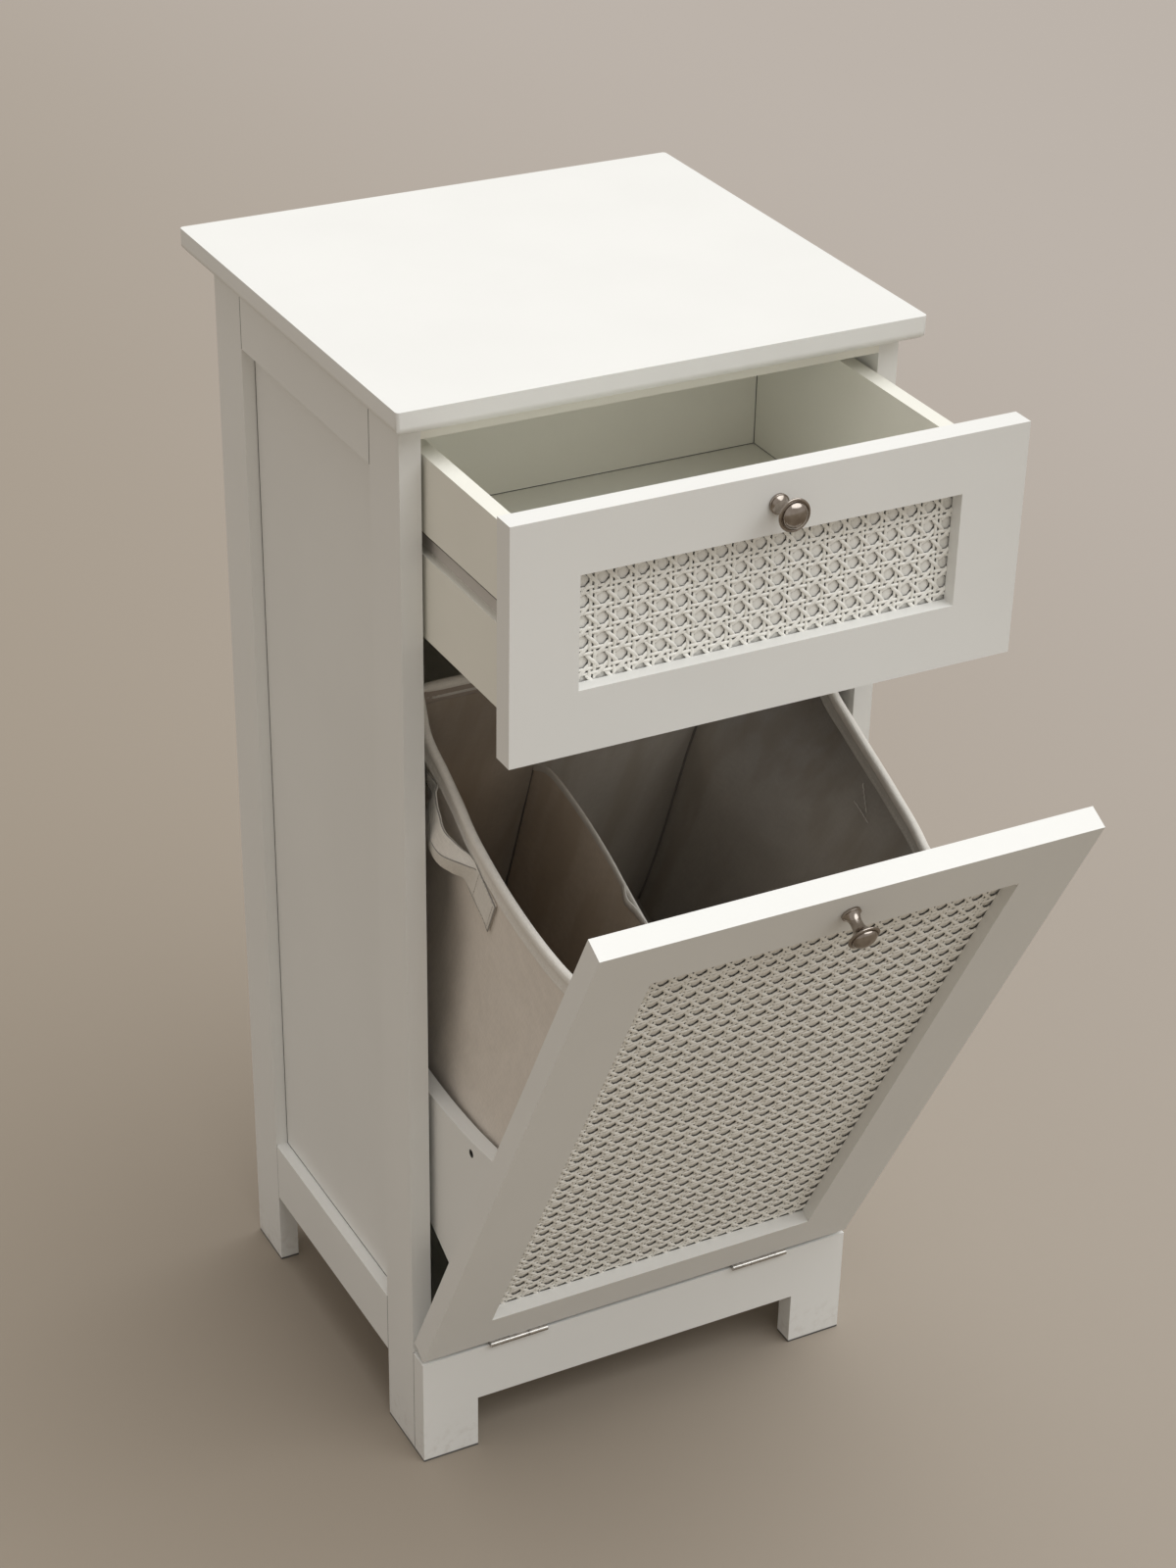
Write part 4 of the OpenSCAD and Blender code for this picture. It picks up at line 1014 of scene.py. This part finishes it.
def rim_height(sizes, depth):
    """Height of the bag's rim at a depth: low in the middle of the sides, high at the door and the back."""
    if depth < sizes.dip_depth:
        end, rise, power = sizes.front, sizes.front_rim - sizes.dip_rim, 2
    else:
        end, rise, power = sizes.back, sizes.back_rim - sizes.dip_rim, 2.4
    share = (depth - sizes.dip_depth) / (end - sizes.dip_depth)
    return sizes.dip_rim + rise * min(max(share, 0), 1) ** power


def rim_out(side, depth):
    """Distance of the rim from the middle."""
    depths, outs = np.array(RIM_OUT[side]).T
    near = [np.interp(depth + step, depths, outs) for step in (-0.008, -0.004, 0.0, 0.004, 0.008)]
    return sum(near) / len(near)


def side_x(sizes, side, depth, up):
    """Where a side wall of the bag stands: drawn in towards the back below the rim."""
    pull = sizes.pull_right if side > 0 else sizes.pull_left
    below = rim_height(sizes, depth) - up
    foot = 1 - 0.3 * smoothstep(0.0, 0.3, 0.4 - up)
    back = smoothstep(PULL_FROM, sizes.back, depth)
    wall = sizes.half_width - pull * smoothstep(0.0, PULL_BAND, below) * foot * back
    near_rim = 1 - smoothstep(0.0, RIM_BAND, below)
    return side * (wall + (rim_out(side, depth) - sizes.half_width) * near_rim)


def bag_point(sizes, wall, share, height):
    """A place on one of the walls; share runs along the wall and height from the floor to the rim, 0 to 1."""
    front, back = sizes.front, sizes.back
    if wall in ("right", "left"):
        side = 1 if wall == "right" else -1
        depth = front + (back - front) * share
        up = sizes.floor + (rim_height(sizes, depth) - sizes.floor) * height
        x = side_x(sizes, side, depth, up)
        inside = math.sin(math.pi * min(max(share, 0), 1)) * math.sin(math.pi * min(height, 1) ** 0.8)
        folds = ripple((3.0, depth, up * 0.16), 34, 3 if side > 0 else 8)
        folds += 0.45 * ripple((5.0, depth * 0.9 + up * 0.25, up * 0.5), 60, 1)
        x -= side * max(inside, 0) * sizes.fold * (0.55 + 0.9 * folds)
        return np.array((x, depth, up))
    depth = front if wall == "front" else back
    up = sizes.floor + (rim_height(sizes, depth) - sizes.floor) * height
    left, right = (side_x(sizes, side, depth, up) for side in (-1, 1))
    x = left + (right - left) * share
    inward = 1 if wall == "front" else -1
    inside = math.sin(math.pi * share) * math.sin(math.pi * min(height, 1))
    folds = ripple((x, 7.0, up * 0.3), 24, 5)
    return np.array((x, depth + inward * max(inside, 0) * sizes.fold * (0.7 + 0.8 * folds), up))


def wall_point(sizes, wall, depth, up):
    """The place on a side wall at a depth and a height."""
    share = (depth - sizes.front) / (sizes.back - sizes.front)
    height = (up - sizes.floor) / (rim_height(sizes, depth) - sizes.floor)
    return bag_point(sizes, wall, share, height)


def bag_columns():
    """The (wall, share) of each column of the bag's walls, once round and closer near the corners."""
    columns = []
    for wall, count in WALLS.items():
        inner = np.linspace(0, 1, count + 1)[1:-1]
        shares = [0.0, 0.012, *(0.03 + 0.94 * inner), 0.988]
        columns += [(wall, 1 - share if wall in ("back", "left") else share) for share in shares]
    return columns


def bag_shell(sizes):
    """The bag's four walls and floor as one sheet of points and faces."""
    columns = bag_columns()
    heights = [0.0, 0.012, 0.03, *np.linspace(0.055, 0.985, 52), 1.0]
    points = [bag_point(sizes, wall, share, height) for height in heights for wall, share in columns]
    faces = grid_faces(len(heights), len(columns), wrap=True)
    # the floor joins the front wall's feet to the back wall's
    front, right, back, left = ([i for i, place in enumerate(columns) if place[0] == wall] for wall in WALLS)
    front_row = [*front, right[0]]
    left_line = [front[0], *reversed(left)]
    right_line = [*right, back[0]]
    rows = [front_row]
    depths = len(right_line) - 1
    for j in range(1, depths):
        first, last = points[left_line[j]], points[right_line[j]]
        row = [left_line[j]]
        for i in front_row[1:-1]:
            share = (points[i][0] - points[front_row[0]][0]) / (2 * sizes.half_width)
            place = first + (last - first) * share
            hollow = math.sin(math.pi * share) * math.sin(math.pi * j / depths)
            place[2] += 0.0012 * hollow * (1 + ripple(place, 30, 2))
            row.append(len(points))
            points.append(place)
        rows.append([*row, right_line[j]])
    rows.append([left[0], *reversed(back)])
    for before, after in zip(rows, rows[1:]):
        for i in range(len(before) - 1):
            faces.append((before[i], after[i], after[i + 1], before[i + 1]))
    return points, faces


def rim_loop(sizes):
    """The rim's middle line once round, with its outward and upward directions."""
    places = bag_columns()
    path, lower = (np.array([bag_point(sizes, *place, height) for place in places]) for height in (1.0, 0.97))
    direction = along(path, closed=True)
    ups = unit(path - lower)
    ups = unit(ups - direction * np.sum(ups * direction, axis=1, keepdims=True))
    outs = unit(np.cross(direction, ups))
    facing = np.sign(np.sum(outs * (path - path.mean(axis=0)), axis=1, keepdims=True))
    return path, outs * facing, ups


def stitch_row(path, outs, ups, stitch):
    """A row of small raised stitches along a path."""
    length, gap, lift, radius = stitch
    path = np.asarray(path, float)
    outs, ups = (np.broadcast_to(np.asarray(way, float), path.shape) for way in (outs, ups))
    run = np.concatenate([[0], np.cumsum(np.linalg.norm(np.diff(path, axis=0), axis=1))])
    parts = []
    start = gap
    while start + length < run[-1]:
        middle, sides, tops = [], [], []
        for t in (0, 0.25, 0.75, 1):
            at = start + length * t
            place = np.array([np.interp(at, run, path[:, k]) for k in range(3)])
            nearest = int(np.clip(np.searchsorted(run, at), 0, len(path) - 1))
            middle.append(place + outs[nearest] * (lift if 0 < t < 1 else lift - radius))
            sides.append(outs[nearest] * radius)
            tops.append(ups[nearest] * radius)
        parts.append(sweep(middle, sides, tops, ((1, 0), (0, 1), (-1, 0), (0, -1))))
        start += length + gap
    return parts


def rim_stitches(sizes, middle, outs, ups):
    """The two rows that hold the tape, and the small V where each strap's stitches show on the inside."""
    line, outs, ups = (np.vstack([row, row[:1]]) for row in (middle, outs, ups))
    line = line - ups * STITCHES_BELOW
    parts = []
    for facing in (outs, -outs):
        parts += stitch_row(line, facing, ups, RIM_STITCH)
    for side, wall in SIDES:
        for first, last in STITCHED_V:
            leg = []
            for t in np.linspace(0, 1, 7):
                place = wall_point(sizes, wall, *(first[k] + (last[k] - first[k]) * t for k in (0, 1)))
                leg.append(place - np.array((side * sizes.cloth_t, 0, 0)))
            parts += stitch_row(leg, (-side, 0, 0), UP, V_STITCH)
    return weld_pieces(parts)


def corner_seams(sizes):
    """Raised seams in the bag's corners and at the divider's back edge; their dark colour is painted shade of
    the corners.
    """
    lines = []
    heights = np.linspace(0.01, 0.985, 40)
    for share, inwards in ((1.0, -1), (0.0, 1)):
        for side, wall in reversed(SIDES):
            corner = np.array([bag_point(sizes, wall, share, height) for height in heights])
            lines.append(corner + np.array((-side, inwards, 0)) * SEAM_INSET)
    back = sizes.back
    ups = np.linspace(sizes.floor + 0.01, DIVIDER_TOP[-1][1] - 0.0003, 30)
    lines.append(np.array([(divider_x(sizes, back, up) - 0.0012, back - 0.0034, up) for up in ups]))
    parts = []
    for line in lines:
        direction = along(line)
        sides = unit(np.cross(direction, (0.3, 0.9, 0.31))) * SEAM_R
        parts.append(sweep(line, sides, np.cross(direction, sides), circle(8)))
    return weld_pieces(parts)


class CABINET_OT_bag(bpy.types.Operator):
    """Sew the bag's shell, floor, seams and bound rim"""

    bl_idname = "cabinet.bag"
    bl_label = "Sew the laundry bag"

    def execute(self, context):
        sizes = context.scene.cabinet_bag
        weave = sizes.weave
        # painted shade on the lining near the rim and towards the right wall's back, and a warmer tint on the
        # left
        shade_and_tints = (
            (sizes.warm_side, [((-1, 0, 0), 0.1, 1.0, 0.08)]),
            (sizes.rim_shade, [(UP, 0.46, 1.0, 0.13)]),
            (sizes.rim_shade, [(OUT, 0.12, 1.0, 0.06), (BACK, 0.26, 1.0, 0.14)]),
        )
        outside = woven_cloth("bag cloth", sizes.cloth, weave, 0.00009)
        inside = woven_cloth("bag lining", sizes.lining, weave, 0.00008, fold_shade=0.16, shade_and_tints=shade_and_tints)
        trim = woven_cloth("bag binding tape", sizes.trim, weave * 1.3, 0.00012)
        # painted shade: the inner side of the tape is a darker copy of the binding
        shaded_inner_trim = woven_cloth("inner side of the tape", shade(sizes.trim, 0.7), weave, 0.0001)
        # the seams are real, their very dark colour is painted shade of the corners they run in
        shaded_seam = woven_cloth("bag seam allowance", shade(sizes.lining, 0.35), weave, 0.00008)
        # painted shade: the hem's colour is a darker copy of the binding's
        band = woven_cloth("bag hem", sizes.hem, weave * 1.3, 0.0001)
        thread = sewing_thread("bag thread", sizes.thread)

        shell = bag_piece("bag_shell", bag_shell(sizes), [outside, inside], ["laundry_bag"])
        cloth = {"thickness": sizes.cloth_t, "offset": -1, "material_offset": 1, "material_offset_rim": 0}
        modify(shell, "thickness", "SOLIDIFY", **cloth)
        soften(shell)

        # the folded tape over the rim
        path, outs, ups = rim_loop(sizes)
        tape = mirrored(HALF_TAPE)
        middle = path - outs * sizes.cloth_t / 2
        mesh = sweep(middle, outs, ups, tape, closed_path=True)
        piping = bag_piece("bag_rim_tape", mesh, [trim, shaded_inner_trim], stands_for=["bag_rim_binding"])
        # the tape's inner leg takes the darker copy, painted shade on the inside of the rim
        inner_leg = range(len(tape) - 6, len(tape) - 1)
        for face in piping.data.polygons:
            face.material_index = int(face.index % len(tape) in inner_leg)
        soften(piping)
        bag_piece("bag_stitches", rim_stitches(sizes, middle, outs, ups), [thread])

        # the wide hem along the top of the back wall
        shares = np.linspace(0.012, 0.988, 60)
        points = []
        for row, out in HEM:
            points += [bag_point(sizes, "back", share, row) - np.array((0, out, 0)) for share in shares]
        bag_piece("bag_back_hem", (points, grid_faces(len(HEM), len(shares))), [band])
        bag_piece("bag_seams", corner_seams(sizes), [shaded_seam])
        return {"FINISHED"}


def divider_x(sizes, depth, up):
    """Where the divider stands: it is sewn to the back wall on a slant."""
    back = DIVIDER_BACK[0] + DIVIDER_SLANT * (up - DIVIDER_BACK[1])
    share = min(max((depth - sizes.front) / (sizes.back - sizes.front), 0), 1)
    return -sizes.divider + (back + sizes.divider) * share


class CABINET_OT_divider(bpy.types.Operator):
    """Hang the cloth that divides the bag in two"""

    bl_idname = "cabinet.divider"
    bl_label = "Hang the divider"

    def execute(self, context):
        sizes = context.scene.cabinet_bag
        cloth = woven_cloth("divider cloth", sizes.parting, sizes.weave, 0.00008, fold_shade=0.12)
        trim = woven_cloth("divider binding tape", shade(sizes.trim, 0.9), sizes.weave * 1.3, 0.0001)
        top_line = smooth_path([(0, *place) for place in DIVIDER_TOP], 5)
        foot = sizes.floor + 0.002
        rows = 44
        points = []
        for share in np.linspace(0, 1, rows):
            for _, depth, top in top_line:
                up = foot + (top - foot) * share
                inside = max(math.sin(math.pi * (depth - DIVIDER_TOP[0][0]) / 0.2743), 0)
                fold = 0.0022 * ripple((1.0, depth, up * 0.4), 22, 4) * inside * (1.2 - share)
                points.append((divider_x(sizes, depth, up) + fold, depth, up))
        mesh = (points, grid_faces(rows, len(top_line)))
        sheet = bag_piece("bag_divider_cloth", mesh, [cloth], ["bag_divider"])
        modify(sheet, "thickness", "SOLIDIFY", thickness=0.0012, offset=0)

        # a narrow folded edge, and a small tab that stands off it
        edge = np.array(points[-len(top_line) :])
        tab = smooth_path([(divider_x(sizes, depth, up) - out, depth, up) for depth, up, out in TAB], 5)
        parts = [level_sweep(edge, mirrored(HALF_EDGE)), level_sweep(tab, mirrored(HALF_TAB))]
        bag_piece("bag_divider_tape", weld_pieces(parts), [trim])
        return {"FINISHED"}


def strap_rows(sizes, side, wall):
    """The rows of places along a strap, from its upper edge over its crease to its lower edge."""
    lines = []
    for k in (1, 2, 3):
        line = []
        for out, depth, up in smooth_path([(row[k][0], row[0], row[k][1]) for row in STRAP], 5):
            slack = smoothstep(0.001, 0.0045, out)
            sewn = abs(wall_point(sizes, wall, depth, up)[0]) + STRAP_HALF_T + 0.0002
            lifted = max(sizes.half_width + out, sewn + 0.3 * out)
            line.append((side * (sewn + (lifted - sewn) * slack), depth, up))
        lines.append(np.array(line))
    upper, crease, lower = lines
    rows = [upper + (crease - upper) * share for share in (0.0, 0.08, 0.5, 0.86)]
    rows += [crease + (lower - crease) * share for share in (0.0, 0.12, 0.5, 0.92, 1.0)]
    # shallow crumples where the band is slack
    start, stop = STRAP_SLACK
    for row in rows:
        for place in row:
            slack = smoothstep(*start, place[1]) * (1 - smoothstep(*stop, place[1]))
            place[0] += side * 0.0012 * slack * ripple((place[1], 2.0, place[2] * 0.6), 75, 6 + side)
    return np.array(rows)


class CABINET_OT_straps(bpy.types.Operator):
    """Sew the two carrying straps and the fastening tape"""

    bl_idname = "cabinet.straps"
    bl_label = "Sew the straps"

    def execute(self, context):
        sizes = context.scene.cabinet_bag
        trim = woven_cloth("strap webbing", shade(sizes.trim, 1.04), sizes.weave * 1.6, 0.00016)
        thread = sewing_thread("strap thread", sizes.thread)
        # painted shadow: a dark copy of the webbing for the lines along the strap's edges, crease and end
        strap_shadow = woven_cloth("strap edge", shade(sizes.trim, 0.42), sizes.weave, 0.0001)
        half_t = STRAP_HALF_T
        ring = circle(6, STRAP_SHADOW_R)
        for side, wall in SIDES:
            rows = strap_rows(sizes, side, wall)
            count = rows.shape[1]
            mesh = (rows.reshape(-1, 3), grid_faces(len(rows), count))
            name = f"bag_{wall}_strap"
            band = bag_piece(name, mesh, [trim], stands_for=[f"bag_{wall}_handle"])
            modify(band, "thickness", "SOLIDIFY", thickness=2 * half_t, offset=0)
            soften(band)

            # painted shadow lines: dark tubes along its two edges, its crease and its end, and the stitched
            # squares at its two ends
            loose = rows[4][rows[4][:, 1] > 0.184]
            lines = ((rows[0], half_t * 0.5), (loose, half_t * 0.9), (rows[8], half_t * 0.5))
            parts = [level_sweep(row + np.array((side * out, 0, 0)), ring) for row, out in lines]
            end = rows[:, 0] + np.array((side * half_t * 0.6, -0.0003, 0))
            parts.append(sweep(end, (side, 0, 0), BACK, ring))
            bag_piece(name + "_edges", weld_pieces(parts), [strap_shadow])
            parts = []
            for first, last in ((1, 9), (count - 10, count - 2)):
                corners = ((1, first), (1, last), (7, last), (7, first), (1, first))
                square = np.array([rows[corner] for corner in corners]) + np.array((side * half_t, 0, 0))
                parts += stitch_row(square, (side, 0, 0), UP, SQUARE_STITCH)
            bag_piece(name + "_stitches", weld_pieces(parts), [thread])

        # the tape that fastens the bag's front to the door
        depth = (FRONT_T + sizes.front) / 2 + 0.0002
        path = [(x, depth, (TAPE_LOW + TAPE_HIGH) / 2) for x in np.linspace(-TAPE_HALF, TAPE_HALF, 41)]
        mesh = sweep(path, (0, TAPE_HALF_T, 0), (0, 0, (TAPE_HIGH - TAPE_LOW) / 2), mirrored(TAPE_SIDE))
        bag_piece("bag_fastening_tape", mesh, [trim], stands_for=["bag_fastening_strip"])
        return {"FINISHED"}


# Floor, light and camera

FLOOR_HALF = 60.0
LAMP_PLACE = (1.05, -0.78, 3.2)
LAMP_AIM = (0, -0.05, 0.55)
CAMERA_PLACE = (-0.98939, -1.79187, 1.71182)
CAMERA_TURN = (0.4921, 0.5775, 0.0211)
CAMERA = {
    "sensor_width": 36.0,
    "sensor_fit": "AUTO",
    "lens": 72.79,
    "shift_y": 0.125,
    "clip_start": 0.05,
    "clip_end": 60,
}


def camera_matrix():
    """Where the camera stands and how it is turned: its yaw from +Y, its pitch down and its roll."""
    yaw, pitch, roll = CAMERA_TURN
    ahead = Vector((math.sin(yaw) * math.cos(pitch), math.cos(yaw) * math.cos(pitch), -math.sin(pitch)))
    level = Vector((math.cos(yaw), -math.sin(yaw), 0))
    upright = level.cross(ahead)
    right = level * math.cos(roll) + upright * math.sin(roll)
    up = upright * math.cos(roll) - level * math.sin(roll)
    return Matrix.Translation(CAMERA_PLACE) @ Matrix((right, up, -ahead)).transposed().to_4x4()


class CABINET_OT_stage(bpy.types.Operator):
    """Lay the floor, hang the lamp and place the camera"""

    bl_idname = "cabinet.stage"
    bl_label = "Set the stage"

    def execute(self, context):
        sizes = context.scene.cabinet_stage
        scene = context.scene

        corners = [(x * FLOOR_HALF, y * FLOOR_HALF, 0.0) for x, y in ((-1, -1), (1, -1), (1, 1), (-1, 1))]
        finish = pale_floor("plain pale floor", sizes.floor, sizes.shaded_side, sizes.bounce)
        floor = shaded("floor", (corners, [(0, 1, 2, 3)]), [finish])

        lamp = bpy.data.lights.new("large soft lamp", "SUN")
        lamp.angle = sizes.lamp_spread
        lamp.energy = sizes.lamp_power
        lamp.color = sizes.lamp
        hung = linked("large soft lamp", lamp)
        hung.location = LAMP_PLACE
        hung.rotation_mode = "QUATERNION"
        hung.rotation_quaternion = (Vector(LAMP_AIM) - hung.location).to_track_quat("-Z", "Y")

        world = bpy.data.worlds.new("soft light all round")
        nodes = Nodes(world)
        lights = {0: nodes.node("ShaderNodeLightPath").outputs["Is Camera Ray"]}
        looks = ((shade(sizes.sky), sizes.sky_power), (shade(sizes.floor, 1.15), 1.0))
        for socket, (colour, power) in enumerate(looks, start=1):
            lights[socket] = nodes.node("ShaderNodeBackground", {}, {0: colour, 1: power}).outputs[0]
        blend = nodes.node("ShaderNodeMixShader", {}, lights)
        nodes.node("ShaderNodeOutputWorld", {}, {0: blend.outputs[0]})
        scene.world = world

        camera = bpy.data.cameras.new("camera")
        for key, setting in CAMERA.items():
            setattr(camera, key, setting)
        watching = linked("camera", camera)
        watching.matrix_world = camera_matrix()
        scene.camera = watching
        scene.view_settings.view_transform = "Standard"
        return {"FINISHED"}


# Panel and registration


class CABINET_PT_panel(bpy.types.Panel):
    """The cabinet's steps and sizes"""

    bl_idname = "CABINET_PT_panel"
    bl_label = "Laundry cabinet"
    bl_space_type = "VIEW_3D"
    bl_region_type = "UI"
    bl_category = "Cabinet"

    def draw(self, context):
        for operator in OPERATORS:
            self.layout.operator(operator.bl_idname)
        for name, group in GROUPS.items():
            box = self.layout.box()
            box.label(text=group.__doc__)
            for key in group.__annotations__:
                box.prop(getattr(context.scene, name), key)


OPERATORS = (
    CABINET_OT_stage,
    CABINET_OT_boards,
    CABINET_OT_cane,
    CABINET_OT_knobs,
    CABINET_OT_hardware,
    CABINET_OT_bag,
    CABINET_OT_divider,
    CABINET_OT_straps,
)


def register():
    for group in GROUPS.values():
        bpy.utils.register_class(group)
    for name, group in GROUPS.items():
        setattr(bpy.types.Scene, name, bpy.props.PointerProperty(type=group))
    for operator in OPERATORS:
        bpy.utils.register_class(operator)
    bpy.utils.register_class(CABINET_PT_panel)


def unregister():
    bpy.utils.unregister_class(CABINET_PT_panel)
    for operator in reversed(OPERATORS):
        bpy.utils.unregister_class(operator)
    for name in GROUPS:
        delattr(bpy.types.Scene, name)
    for group in reversed(list(GROUPS.values())):
        bpy.utils.unregister_class(group)


def main():
    register()
    for operator in OPERATORS:
        group, name = operator.bl_idname.split(".")
        getattr(getattr(bpy.ops, group), name)()


if __name__ == "__main__":
    main()
